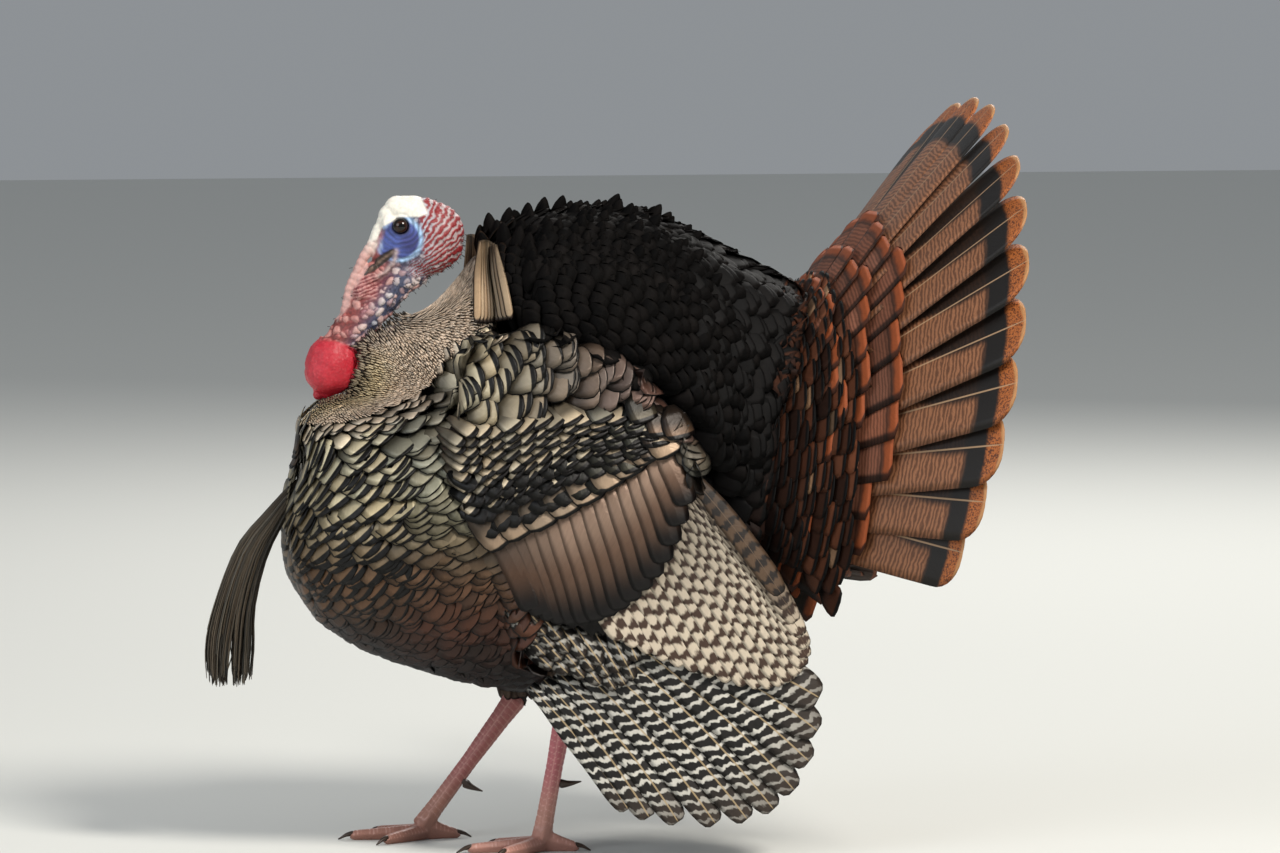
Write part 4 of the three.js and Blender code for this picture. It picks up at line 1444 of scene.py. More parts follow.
def tail_bars(recipe, vane):
    """Fine wavy bars and a dark wedge, then a dark band and a mottled tip with a pale rim.

    The wedge is partly the inner vane's own dark and partly painted shadow cast by the feather
    above it. A seed over 5 puts the wedge on the other half of the vane, and one under 0 leaves it
    out.
    """
    stir = vane.stir(recipe, 0.12, 3.0, 57.0, 3.0)
    place = recipe.plus(recipe.times(vane.along_mm, 1 / 5.2), recipe.times(vane.across_mm, 0.03))
    wave = recipe.wave(recipe.plus(place, recipe.times(stir, 1.9)))
    colour = recipe.blend(recipe.times(recipe.minus(1.0, recipe.ramp(wave, 0.1, 0.9)), 0.8),
        vane.tone, vane.rim)
    reach = recipe.plus(vane.v, recipe.times(vane.across, vane.across, 0.022))
    reach = recipe.plus(reach, recipe.times(recipe.minus(stir, 0.5), 0.012))
    # The dark wedge: partly the inner vane's own dark, partly painted shadow cast by the feather
    # above.
    far = recipe.calc("GREATER_THAN", vane.seed, 5.0)
    upper = recipe.times(vane.signed, recipe.minus(recipe.times(far, 2.0), 1.0))
    start = recipe.minus(0.9, recipe.times(recipe.ramp(vane.v, 0.22, 0.80), 1.15))
    wedge = recipe.ramp(upper, start, recipe.plus(start, 0.22))
    wedge = recipe.times(wedge, recipe.calc("GREATER_THAN", vane.seed, 0.0), 0.93)
    colour = recipe.blend(wedge, colour, linear("0e0a08"))
    colour = recipe.blend(recipe.ramp(reach, 0.835, 0.865), colour, linear("14100e"))
    speck = vane.stir(recipe, 0.5, 18.0, 91.0, 2.0)
    orange = recipe.blend(recipe.ramp(speck, 0.45, 0.62), linear("a8602f"), linear("5a2f1a"))
    colour = recipe.blend(recipe.ramp(reach, 0.925, 0.945), colour, orange)
    return recipe.blend(recipe.ramp(reach, 0.985, 0.996), colour, linear("ad7c50"))


def covert_bars(recipe, vane):
    """Fine bars, then a broad rust tip, and one dark side."""
    stir = vane.stir(recipe, 0.12, 2.0, 57.0, 3.0)
    wave = recipe.wave(recipe.plus(recipe.times(vane.along_mm, 1 / 4.5), stir))
    colour = recipe.blend(recipe.times(recipe.minus(1.0, recipe.ramp(wave, 0.2, 0.8)), 0.5),
        vane.tone, linear("2c1a12"))
    reach = recipe.plus(vane.v, recipe.times(vane.across, vane.across, 0.03))
    reach = recipe.plus(reach, recipe.times(recipe.minus(stir, 0.5), 0.06))
    colour = recipe.blend(recipe.times(recipe.ramp(reach, 0.80, 0.88), 0.7), colour,
        linear("1c120d"))
    colour = recipe.blend(recipe.ramp(reach, 0.87, 0.93), colour, vane.rim)
    return recipe.blend(recipe.times(recipe.ramp(vane.signed, 0.62, 0.8), 0.85), colour,
        linear("150e0b"))


def spread_tail(context):
    settings = context.scene.turkey_back
    quill = feather_material("tail feather", shine=0.0, rough=0.5, streak=0.15, bars=tail_bars,
        shaft=linear("b09070"), quill=1.2, root=0.7)
    share = np.linspace(0, 1, 25)
    for k in range(FAN["count"]):
        angle = math.radians(FAN["first"] + FAN["step"] * k)
        reach = mix(FAN["root"], quill_length(angle), share)
        spots, ups = on_fan(reach, angle, 4 * np.sin(share * 3.0) - abs(k - 8.5) * 0.6)
        coat = Coat()
        coat.add(placed(spots)[None], ups[None], 42 * MM, columns=8, tip=0.89, power=2.0,
            base=0.35, cup=0.05, roll=0.15 * np.clip(angle / 0.35, -1, 1), thick=0.0006, end=0.12,
            seed=RANDOM.random(1) + (-5 if k in (7, 8, 9) else 10 if angle < 0 else 0),
            tone=settings.vane, rim=settings.bars, bake=strips(1, 0.2, 0.6, 0.94))
        coat.piece(f"tail_quill_{k + 1:02d}", quill, "tail_feather",
            (f"tail_feather_{k + 1:02d}",))

    covert = feather_material("tail covert", shine=0.0, rough=0.65, streak=0.25, bars=covert_bars,
        root=0.35, gloss=0.2)
    coat = Coat()
    first = math.radians(FAN["first"] - 30)
    last = math.radians(FAN["first"] + 17 * FAN["step"] + 40)
    for tier, (portion, raised, half, count) in enumerate((
            (0.665, 8, 30, 25), (0.585, 13, 28, 26), (0.50, 18, 26, 26))):
        angles = np.linspace(first, last, count) + (tier % 2) * 0.03
        angles = angles + RANDOM.normal(0, 0.008, count)
        beyond = np.maximum(angles - math.radians(97.1), 0) / math.radians(40)
        length = quill_length(np.clip(angles, -1.6, 1.6)) * portion * (1 - 0.25 * beyond)
        length = length * (1 + RANDOM.normal(0, 0.022, count))
        reach = length[:, None] + (share[None, ::4] - 1) * 115
        spots, ups = on_fan(reach, angles[:, None], raised + 3 - 9 * (1 - share[None, ::4]))
        low = rise(1.75, 2.1, angles)[:, None]
        tones = mix(np.tile(settings.covert, (count, 1)), linear("1c1a14"), low)
        twist = np.where(angles > 0, 0.06, -0.06)
        coat.add(placed(spots), ups, half * MM, columns=6, tip=0.92, power=3.0, end=0.6, base=0.5,
            cup=0.02, roll=twist, tone=varied(tones, 0.15, 0.04), rim=settings.rust)
    coat.piece("tail_covert_feathers", covert, "tail_covert", ("tail_coverts",))


class TURKEY_OT_tail(bpy.types.Operator):
    """Spread the tail's eighteen feathers and the coverts over their bases"""
    bl_idname = "turkey.tail"
    bl_label = "Tail"

    def execute(self, context):
        spread_tail(context)
        return {"FINISHED"}


def standing_on(form, field, steps, way, size):
    """Spines of a length that end just over a form and start a depth under their tips."""
    step, spacing = steps
    long, deep = size
    tips = tips_on(form, field, field.min() + 0.004, field.max(), step * MM, spacing)
    ups = form.nearest(tips)[1]
    share = np.linspace(0, 1, 5)[None, :, None]
    ways = unit(np.array(way) - ups * 0.1)
    spines = tips[:, None] + ways[:, None] * (share - 1) * long * MM
    spines = spines + ups[:, None] * ((share - 1) * deep + 1) * MM
    return spines, np.repeat(ups[:, None], 5, 1)


def lay_under(context):
    soft = feather_material("soft feather", shine=0.05, rough=0.6, streak=0.35, root=0.4)
    form = form_of("under", ("undertail_coverts",), 7, 3)
    field = form.co[:, 0].copy()
    coat = Coat()
    spines, ups = standing_on(form, field, (13, 15), (1.0, 0, -0.1), (45, 8))
    tones = varied(np.tile(linear("2c1f18"), (len(spines), 1)), 0.25, 0.05)
    coat.add(spines, ups, 12 * MM, columns=4, tip=0.7, power=2.0, cup=0.15, roll=0.1, tone=tones,
        rim=linear("5c3018"), band=0.08)
    coat.piece("undertail_feathers", soft, "tail_covert", ("undertail_coverts",))
    coat = Coat()
    for side in ("left", "right"):
        form = form_of("thigh_" + side, ("thigh_" + side,), 5, 3)
        field = -form.co[:, 2]
        spines, ups = standing_on(form, field, (9, 10), (0.15, 0, -1.0), (30, 6))
        tones = varied(np.tile(linear("4a3a2e"), (len(spines), 1)), 0.2, 0.04)
        coat.add(spines, ups, 8 * MM, columns=2, tip=0.6, power=2.0, cup=0.2, roll=0.1, tone=tones,
            rim=linear("1d1510"), band=0.06)
    coat.piece("thigh_feathers", soft, "thigh_feather")


class TURKEY_OT_under(bpy.types.Operator):
    """Lay the soft feathers under the tail and on the thighs"""
    bl_idname = "turkey.under"
    bl_label = "Undertail and thighs"

    def execute(self, context):
        lay_under(context)
        return {"FINISHED"}


# ---- The skin: bare head, throat and wattle, and the flesh under the coat --------------------

EYE = np.array((-169.0, 15.0, 654.0))
SNOOD = [(-190, 650), (-197, 635), (-206, 621), (-214, 605), (-221, 590), (-225, 573), (-229, 556)]

# Rounded lumps of flesh added to the head: brow, crown, nape, chin, throat, and the wattle
# with its small tip.
LOBES = [(-163, 0, 667.5, 17.5), (-183, 0, 657, 10), (-180, 7, 656, 9), (-180, -7, 656, 9),
         (-185, 0, 647, 10), (-188, 0, 638, 10), (-171, 0, 671, 14), (-179, 0, 664, 12),
         (-155, 0, 664, 21), (-134, 0, 645, 33), (-138, 0, 634, 32), (-145, 0, 656, 27),
         (-186, 0, 612, 13), (-196, 0, 604, 12), (-204, 0, 594, 12), (-208, 5, 584, 11),
         (-208, -5, 584, 11), (-214, 0, 574, 12), (-218, 0, 562, 13), (-222, -5, 552, 13),
         (-222, 5, 552, 13), (-230, 0, 540, 14), (-240, 0, 505, 27.5), (-238, 0, 513, 26),
         (-246, -6, 501, 22), (-246, 6, 501, 22), (-252, 0, 484, 8), (-254, 0, 478, 6)]
FOLD = [(-174, 628), (-176, 616), (-184, 606), (-196, 599), (-208, 594)]
GAPE = [(-174, 630), (-192, 616), (-217, 594)]


class TURKEY_PG_head(bpy.types.PropertyGroup):
    voxel: length_of("Head grain", "Size of the head's mesh cells", 0.0011)
    cap: colour_of("Cap", "White of the crown", "f1ece0")
    face: colour_of("Face", "Blue of the face", "4a5aa0")
    face_deep: colour_of("Face, deep", "Darkest blue behind the eye", "35346c")
    face_rim: colour_of("Face rim", "Pale blue edge of the face", "a5c6ea")
    red: colour_of("Ridges", "Red ridges of the nape", "8a2226")
    pale: colour_of("Between ridges", "Pale skin between the ridges", "b5a5a6")
    snood: colour_of("Snood", "Pinkish white of the snood", "cfa39c")
    ball: colour_of("Wattle", "Crimson of the wattle", "ba2233")
    iris: colour_of("Iris", "Dark brown of the eye", "2a1408")


def near_line(x, z, line):
    """How far x, z places lie from a broken line, and how far along it, from 0 to 1."""
    away, along = np.full(len(x), np.inf), np.zeros(len(x))
    spots = np.stack([x, z], 1)
    for k, (a, b) in enumerate(zip(line, line[1:])):
        a, b = np.array(a, float), np.array(b, float)
        step = b - a
        share = np.clip(((spots - a) @ step) / (step @ step), 0, 1)
        gap = np.linalg.norm(spots - a - share[:, None] * step, axis=1)
        closer = gap < away
        away = np.where(closer, gap, away)
        along = np.where(closer, (k + share) / (len(line) - 1), along)
    return away, along


def field_noise(spots, size, seed=0.0):
    """Soft noise from -1 to 1 over own places, with lumps of a size in millimetres."""
    shift = Vector((seed, seed * 1.7, -seed))
    return np.array([noise.noise(Vector(spot) / size + shift) for spot in spots])


def cells(spots, size, seed=0.0):
    """Rounded lumps: 1 in the middle of each, 0 at its edges, and a random share for each."""
    shift = Vector((seed, -seed, seed * 2))
    out, pick = np.empty(len(spots)), np.empty(len(spots))
    for k, spot in enumerate(spots):
        place = Vector(spot) / size + shift
        place += noise.noise_vector(place * 0.8) * 0.35
        near, places = noise.voronoi(place)
        pick[k] = math.sin(places[0].dot((12.9, 78.2, 37.7))) * 437.5 % 1
        round_one = max(1 - (near[0] / (0.42 + 0.3 * pick[k])) ** 2, 0)
        out[k] = min(round_one, (near[1] - near[0]) * 2.5)
    return out, pick


def bump_of(value, middle, width):
    return np.exp(-((np.asarray(value, float) - middle) / width) ** 2)


def face_reach(x, z):
    """0 in the middle of the blue face, 1 at its edge."""
    return np.hypot((x + 172) / 25.0, (z - 641) / 24.0)


def head_parts(spots):
    """The head's regions at own places, as shares from 0 to 1, and a few distances."""
    x, y, z = spots.T
    side = np.abs(y)
    eye = np.hypot(x - EYE[0], z - EYE[2])
    turn = np.arctan2(z - 590, x + 182)
    face = rise(1.12, 0.93, face_reach(x, z)) * rise(6, 12, side)
    cap_line = np.interp(x, (-215, -196, -188, -170, -150, -140, -128),
        (600, 640, 655, 663.5, 664, 668, 690))
    cap = rise(-1.5, 1.5, z - cap_line) * rise(-139, -143, x + 0.3 * (z - 665))
    strip = rise(4.5, 2.5, near_line(x, z, [(-176, 664), (-190, 656), (-196, 642)])[0])
    nape = rise(-152, -144, x + 0.1 * (z - 640)) * rise(592, 604, z)
    nape = np.maximum(nape, rise(-168, -150, x) * rise(596, 606, z) * rise(626, 612, z))
    ball = rise(33, 30, np.hypot(np.hypot(x + 241, z - 507), y * 0.95))
    ball = np.maximum(ball, rise(496, 486, z)) * rise(-209, -214, x)
    throat = rise(622, 606, z + 0.25 * (x + 180)) * (1 - ball)
    return SimpleNamespace(eye=eye, side=side, turn=turn, face=face, cap=cap,
        strip=strip * (side < 22), nape=nape * (1 - cap), ball=ball, throat=throat,
        fold=near_line(x, z, FOLD)[0])


def sculpt_head(spots):
    """How far the head's skin stands out or in at own places, and its colours."""
    x, _, z = spots.T
    part = head_parts(spots)
    settings = bpy.context.scene.turkey_head
    coarse = field_noise(spots, 9.0, 3.0)
    fine = field_noise(spots, 2.6, 8.0)
    lumps, pick = cells(spots, 8.5, 2.0)
    pebbles, _ = cells(spots, 3.2, 5.0)
    warts, wart_pick = cells(spots, 5.2, 9.0)

    shape = 0.12 * fine
    outer = part.side > 6
    lids = outer * (1.5 * bump_of(part.eye, 9.4, 1.5) - 0.7 * bump_of(part.eye, 12.4, 1.2))
    shape = shape + lids * (part.eye < 18)
    shape = shape - 5.0 * outer * rise(7.4, 6.6, part.eye)
    ear = np.hypot(x + 141, z - 655)
    shape = shape + outer * (0.9 * bump_of(ear, 4.2, 1.3) - 1.8 * bump_of(ear, 0, 2.4))
    folds = np.sin(part.turn * 84 + 4.2 * coarse + 1.4 * fine)
    shape = shape + part.nape * (0.55 * folds + 0.5 * fine)
    shape = shape + part.face * (part.eye > 11) * 0.35 * np.sin(part.eye * 1.1
                                                                       + 3 * coarse)
    rear = rise(-196, -186, x) * rise(628, 616, z) * (1 - part.ball)
    shape = shape + part.throat * (2.4 * lumps - 0.9 + 0.25 * fine)
    shape = shape + (1 - part.throat) * rear * (1.2 * warts - 0.4)
    shape = shape + part.ball * (0.35 * pebbles + 0.5 * coarse)
    fold = bump_of(part.fold, 0, 2.6) * outer
    shape = shape + 1.6 * fold
    strands = np.sin((z - 0.35 * x) * 1.7 + 2.0 * coarse)
    below = rise(608, 600, z) * rise(574, 584, z) * rise(-190, -198, x)
    shape = shape + below * 0.6 * strands

    pink, rose = linear("b98680"), np.array(linear("9c4a49"))
    milk = linear("c9c2c0")
    wart_tone = region(wart_pick, (0, "5f6f92"), (0.5, "8e93a6"), (0.8, "b3aeb4"), (1, "9a6a70"))
    colour = tint(linear("3c3f58"), wart_tone, rise(0.05, 0.5, warts))
    above = rise(-176, -190, x)[:, None]
    colour = mix(colour, rose * mix(0.7, 1.1, warts)[:, None], above)
    lump_tone = region(pick, (0, "7f8ea4"), (0.3, "c4bfc1"), (0.55, "9b8a94"), (0.8, "b98882"),
        (1, "cfc6c4"))
    rosy = region(pick, (0, "9c4f4e"), (0.4, "b4706a"), (0.8, "bd8680"), (1, "c9a6a0"))
    forward = rise(-184, -216, x - 0.6 * (z - 570))[:, None]
    grooves = mix(linear("444a63"), linear("7d3835"), forward)
    grooves = grooves * mix(0.75, 1.15, rise(-0.4, 0.4, fine))[:, None]
    throat = tint(grooves, mix(lump_tone, rosy, forward), rise(0.02, 0.3, lumps))
    colour = tint(colour, throat, part.throat)
    red = rise(-0.6, 0.1, folds + 0.9 * fine)[:, None]
    pale = tint(settings.pale, linear("b9bcc6"), rise(-128, -150, x))
    nape = mix(pale, settings.red, red)
    colour = tint(colour, nape, part.nape)
    behind = np.hypot((x + 158) / 16, (z - 637) / 15)
    face = tint(settings.face, settings.face_deep,
        rise(1.1, 0.4, behind) * (0.75 + 0.25 * fine))
    reach = face_reach(x, z)
    rim = rise(0.80, 0.93, reach) * rise(-182, -165, x + (z - 640) * -0.2)
    face = tint(face, settings.face_rim, rim)
    crescents = np.sin(part.eye * 1.25 + 2.5 * coarse + 1.0)
    face = face * mix(0.6, 1.2, rise(-0.9, 0.7, crescents))[:, None]
    light = rise(-180, -186, x - 0.3 * (z - 650)) * rise(0.55, 0.75, reach)
    face = tint(face, linear("9fb6d8"), light)
    face = tint(face, linear("201c30"), bump_of(part.eye, 8.4, 1.8))
    colour = tint(colour, face, part.face)
    horn = near_line(x, z, GAPE)
    wide = 2.0 + 2.6 * np.sin(np.clip(horn[1] * 1.25, 0, 1) * math.pi)
    wedge = rise(wide + 0.8, wide - 0.6, horn[0]) * outer * rise(0.0, 0.06, horn[1])
    horn_tone = tint(linear("2a1d18"), linear("6d574a"), rise(2.2, 0.6, horn[0]))
    colour = tint(colour, horn_tone, wedge)
    shape = shape - 1.0 * wedge * (1 - fold)
    colour = tint(colour, mix(pink, milk, 0.55), fold * 0.9)
    strand_tone = tint(linear("7d3236"), linear("c08a86"),
        rise(-0.5, 0.6, strands + 0.5 * fine))
    colour = tint(colour, strand_tone, below * outer)
    white = np.maximum(part.cap, part.strip)[:, None]
    colour = mix(colour, settings.cap, white)
    # The wattle is painted lighter on its small lumps and towards its front: painted highlights.
    ball = tint(settings.ball, linear("d2545c"),
        rise(0.2, 0.9, pebbles) * 0.35 + 0.35 * rise(-255, -268, x))
    colour = tint(colour, ball, part.ball)
    shade = 0.86 + 0.14 * rise(-0.5, 0.3, fine)
    return shape, colour * shade[:, None]


def paint(bm, colours):
    layer = bm.verts.layers.float_color.new("tone")
    for vert, colour in zip(bm.verts, colours):
        vert[layer] = (*colour, 1.0)


def build_skin(context):
    settings = context.scene.turkey_head
    depth = context.scene.turkey_body.coat_depth
    bare = merged_form(("head", "neck_upper", "caruncles"), 0.0022, 14)
    flat = Matrix.Diagonal((1, 0.85, 1, 1))
    for x, y, z, radius in LOBES:
        bmesh.ops.create_uvsphere(bare, u_segments=24, v_segments=16, radius=radius * MM,
            matrix=Matrix.Translation(at(x, y, z)) @ flat)
    for share in np.linspace(0, 1, 40):
        x, z = curve_through(SNOOD, share)
        radius = np.interp(share, (0, 0.2, 0.5, 1), (7.0, 5.8, 4.8, 4.2))
        bmesh.ops.create_uvsphere(bare, u_segments=16, v_segments=10, radius=radius * MM,
            matrix=Matrix.Translation(at(x, 0, z)))
    bare = modified(in_order(bare), ("REMESH", {"mode": "VOXEL", "voxel_size": settings.voxel}),
        ("SMOOTH", {"factor": 0.5, "iterations": 6}))
    places, ways = coordinates(bare), normals(bare)
    spots = own_mm(places)
    snood = near_line(spots[:, 0], spots[:, 2], SNOOD)
    rope = rise(8, 6, snood[0]) * rise(9, 6, np.abs(spots[:, 1]))
    rope = rope * rise(644, 634, spots[:, 2])
    shape, colours = sculpt_head(spots)
    rings = np.sin(snood[1] * 85 + field_noise(spots, 4.0, 6.0) * 2)
    shape = mix(shape, 0.28 * rings, rope)
    rope_tone = tint(settings.cap, settings.snood, rise(0.0, 0.35, snood[1]))
    rope_tone = tint(rope_tone, rope_tone * 0.8, rise(0.2, -0.9, rings))
    colours = tint(colours, rope_tone, rope)
    move_to(bare, places + ways * shape[:, None] * MM)
    paint(bare, np.clip(colours, 0, 1))
    forms["head"] = Form(bare.copy())

    flesh = merged_form(("neck_lower", "breast", "trunk", "thigh_left", "thigh_right"), 0.005, 6)
    places, ways = coordinates(flesh), normals(flesh)
    own = own_mm(places)
    inward = mix(depth, 0.003, rise(60, 10, bare_reach(places)))
    inward = np.minimum(inward, mix(0.005, 1, rise(150, 190, own[:, 2])))
    move_to(flesh, fuller(places - ways * inward[:, None]))
    paint(flesh, np.zeros((len(own), 3)))
    cutter = bpy.data.objects.new("flesh", mesh_of(flesh, "flesh"))
    context.scene.collection.objects.link(cutter)
    whole = in_order(modified(bare, ("BOOLEAN", {
        "operation": "UNION", "solver": "EXACT", "object": cutter})))
    bpy.data.objects.remove(cutter)
    places = coordinates(whole)
    own = own_mm(places)
    # The flesh under the coat: brownish grey high up, near black lower down, so that gaps between
    # the feathers show painted shade.
    under = tint(linear("6d5a52"), linear("191312"), rise(540, 500, own[:, 2]))
    behind = (own[:, 0] + 171) * 0.575 - (own[:, 2] - 579) * 0.818
    hidden = (rise(-2, 3, bare_reach(places)) * rise(-6, 0, behind))[:, None]
    near = hidden[:, 0] < 1
    tones = under.copy()
    tones[near] = mix(forms["head"].at_vertex(places[near], np.clip(colours, 0, 1)), under[near],
        hidden[near])
    paint(whole, tones)
    recipe = Recipe("skin", Roughness=0.5, Subsurface_Weight=0.06, Subsurface_Scale=0.004)
    recipe.set("Subsurface Radius", (1.0, 0.35, 0.25))
    place = recipe.own_place()
    grain = recipe.noise(place, 900.0, 3.0)
    blotch = recipe.noise(place, 220.0, 3.0)
    tone = recipe.attribute("tone").outputs["Color"]
    light = recipe.plus(0.86, recipe.plus(recipe.times(grain, 0.14), recipe.times(blotch, 0.14)))
    recipe.set("Base Color", recipe.shade(tone, light))
    recipe.set("Roughness", recipe.plus(0.36, recipe.times(grain, 0.22)))
    recipe.bump(grain, 0.0006, 0.6)
    piece_of("skin", mesh_of(whole, "skin"), [recipe.material], "bare_skin",
             ("head", "neck_upper", "caruncles", "snood", "neck_lower", "breast", "trunk",
              "thigh_left", "thigh_right"))


class TURKEY_OT_skin(bpy.types.Operator):
    """Build the one skin: head, throat and wattle bare, the rest under the coat"""
    bl_idname = "turkey.skin"
    bl_label = "Skin"

    def execute(self, context):
        build_skin(context)
        return {"FINISHED"}


# Radius of the eyeball, and the soft edges of pupil and iris, in metres.
EYEBALL = 0.0089
PUPIL_EDGE, IRIS_EDGE = (0.0032, 0.0036), (0.0058, 0.0066)

# Lines, as own x and z, along the bill's gap and along the throat's bristles.
BILL_GAP = [(-180, 617), (-197, 600), (-213, 586)]
BRISTLES = [(-176, 566), (-168, 592), (-146, 600), (-122, 614), (-104, 640)]


def set_in_face(context):
    settings = context.scene.turkey_head
    for side in ("left", "right"):
        middle = middle_of("eye_" + side)
        bm = bmesh.new()
        bmesh.ops.create_uvsphere(bm, u_segments=48, v_segments=24, radius=EYEBALL)
        bmesh.ops.rotate(bm, verts=bm.verts, matrix=Matrix.Rotation(math.pi / 2, 3, "X"))
        bmesh.ops.translate(bm, verts=bm.verts, vec=middle)
        recipe = Recipe(f"eye {side}", Roughness=0.12, Coat_Weight=0.25, Coat_Roughness=0.03,
            Specular_IOR_Level=0.3)
        x, _, z = recipe.parts(recipe.own_place())
        away = recipe.calc("SQRT", recipe.plus(
            recipe.calc("POWER", recipe.calc("ABSOLUTE", recipe.minus(x, middle.x)), 2.0),
            recipe.calc("POWER", recipe.calc("ABSOLUTE", recipe.minus(z, middle.z)), 2.0)))
        iris = recipe.blend(recipe.ramp(away, *PUPIL_EDGE), linear("020202"),
            tuple(settings.iris))
        recipe.set("Base Color",
            recipe.blend(recipe.ramp(away, *IRIS_EDGE), iris, linear("0d0908")))
        piece_of("eye_ball_" + side, mesh_of(in_order(bm), "eye"), [recipe.material], "eye",
            ("eye_" + side,))
    horn = Recipe("bill", Roughness=0.32)
    place = horn.own_place()
    tone = horn.attribute("tone").outputs["Color"]
    streak = horn.noise(place, 500.0, 3.0)
    horn.set("Base Color", horn.shade(tone, horn.plus(0.8, horn.times(streak, 0.4))))
    horn.bump(streak, 0.0003, 0.5)
    for node in ("beak_upper", "beak_lower"):
        bm = modified(copy_of(node), ("REMESH", {"mode": "VOXEL", "voxel_size": 0.0007}),
            ("SMOOTH", {"factor": 0.5, "iterations": 4}))
        spots = own_mm(coordinates(bm))
        gap = near_line(spots[:, 0], spots[:, 2], BILL_GAP)
        if node == "beak_upper":
            tones = tint(linear("3a2b23"), linear("a8967c"), rise(5.0, 2.0, gap[0]))
        else:
            tones = np.tile(linear("97815f"), (len(spots), 1))
        paint(bm, tones)
        piece_of(node.replace("beak", "bill"), mesh_of(bm, node), [horn.material], "beak", (node,))

    head = forms["head"]
    spots = own_mm(head.co)
    part = head_parts(spots)
    away = near_line(spots[:, 0], spots[:, 2], BRISTLES)[0]
    likely = 0.5 * rise(16, 2, away) + 0.04 * part.nape + 0.03 * part.throat
    chosen = np.flatnonzero(RANDOM.random(len(spots)) < likely * 0.05)
    roots = head.co[chosen]
    ways = head.normal[chosen] * 0.8 + np.array([0.35, 0, -0.55])
    ways = ways + RANDOM.normal(0, 0.2, ways.shape)
    share = np.linspace(0, 1, 4)[None, :, None]
    lengths = RANDOM.uniform(2.5, 6.0, len(roots))[:, None, None] * MM
    spines = roots[:, None] + unit(ways)[:, None] * (share * lengths - 0.0006)
    ups = np.repeat(np.array([[-1.0, 0.2, 0.4]]), len(roots), 0)[:, None].repeat(4, 1)
    coat = Coat()
    black = linear("0d0a09")
    coat.add(spines, ups, 0.45 * MM, columns=2, tip=0.2, power=1.2, cup=0.3, thick=0.0003,
        tone=black, rim=black, band=0)
    bristle = plain_material("bristle", linear("120e0d"), 0.5)
    coat.piece("head_bristles", bristle, "beard")


class TURKEY_OT_face(bpy.types.Operator):
    """Set in the glossy eyes, the bill and the small bristles of head and throat"""
    bl_idname = "turkey.face"
    bl_label = "Eyes, bill and bristles"

    def execute(self, context):
        set_in_face(context)
        return {"FINISHED"}


# ---- Beard, legs and feet --------------------------------------------------------------------

BEARD = [(-262, 396), (-283, 374), (-305, 344), (-326, 312), (-343, 258), (-349, 212),
         (-350, 172)]


class TURKEY_PG_legs(bpy.types.PropertyGroup):
    strands: bpy.props.IntProperty(name="Beard strands", default=520, min=50, max=2000,
                                   description="Bristles in the beard")
    beard: colour_of("Beard", "Black-brown of the beard", "4d463c")
    shank: colour_of("Shank", "Pink of the shanks", "b5656b")
    seam: colour_of("Scale seams", "Pale lines between the scales", "dcb0a6")
    foot: colour_of("Foot", "Tan pink of the toes", "b98577")
    claw: colour_of("Claw", "Dark horn of claws and spurs", "3a2b22")


def hang_beard(context):
    settings = context.scene.turkey_legs
    n = settings.strands
    share = np.linspace(0, 1, 15)
    turn, out = RANDOM.random(n) * 2 * math.pi, np.sqrt(RANDOM.random(n))
    ends = np.where(RANDOM.random(n) < 0.5, RANDOM.uniform(0.90, 1.0, n),
        RANDOM.uniform(0.62, 0.97, n))
    marks = share[None] * ends[:, None]
    middle = curve_through([(x, 0, z) for x, z in BEARD], marks)
    ways = unit(np.gradient(middle, axis=1))
    sides = np.cross(ways, (0, 1, 0))
    spread = np.interp(marks, (0, 0.25, 0.5, 0.8, 1), (4, 9, 16, 21, 16))
    drift = RANDOM.normal(0, 0.16, n)[:, None] * marks
    a = (out * np.cos(turn))[:, None] + drift
    b = (out * np.sin(turn))[:, None] + RANDOM.normal(0, 0.12, n)[:, None] * marks
    split = np.where(a > 0.1, 3.0, -3.0) * rise(0.6, 1.0, marks)
    spots = (middle + sides * (a * spread + split)[..., None]
             + np.array([0, 1, 0]) * (b * spread * 0.62)[..., None])
    wave = np.sin(marks * 9 + turn[:, None] * 3)[..., None] * 0.8 * marks[..., None]
    spots = spots + sides * wave
    ups = np.stack([np.cos(turn * 5), np.sin(turn * 5), 0 * turn], 1)
    ups = ups[:, None].repeat(len(share), 1)
    coat = Coat()
    tones = varied(np.tile(settings.beard, (n, 1)), 0.45, 0.08)
    coat.add(placed(spots), ups, 0.9 * MM, columns=2, tip=0.5, power=1.4, base=0.8, cup=0.3,
        thick=0.0007, tone=tones, rim=tones, band=0)
    bristle = feather_material("beard", shine=0.1, rough=0.45, streak=0.3, root=1.0)
    coat.piece("beard_strands", bristle, "beard", ("beard",))


class TURKEY_OT_beard(bpy.types.Operator):
    """Hang the bristly beard from the middle of the breast"""
    bl_idname = "turkey.beard"
    bl_label = "Beard"

    def execute(self, context):
        hang_beard(context)
        return {"FINISHED"}


# Heights of the scales round the shank and along the toes, in own millimetres.
SHANK_SCALE, TOE_SCALE = 6.2, 4.2


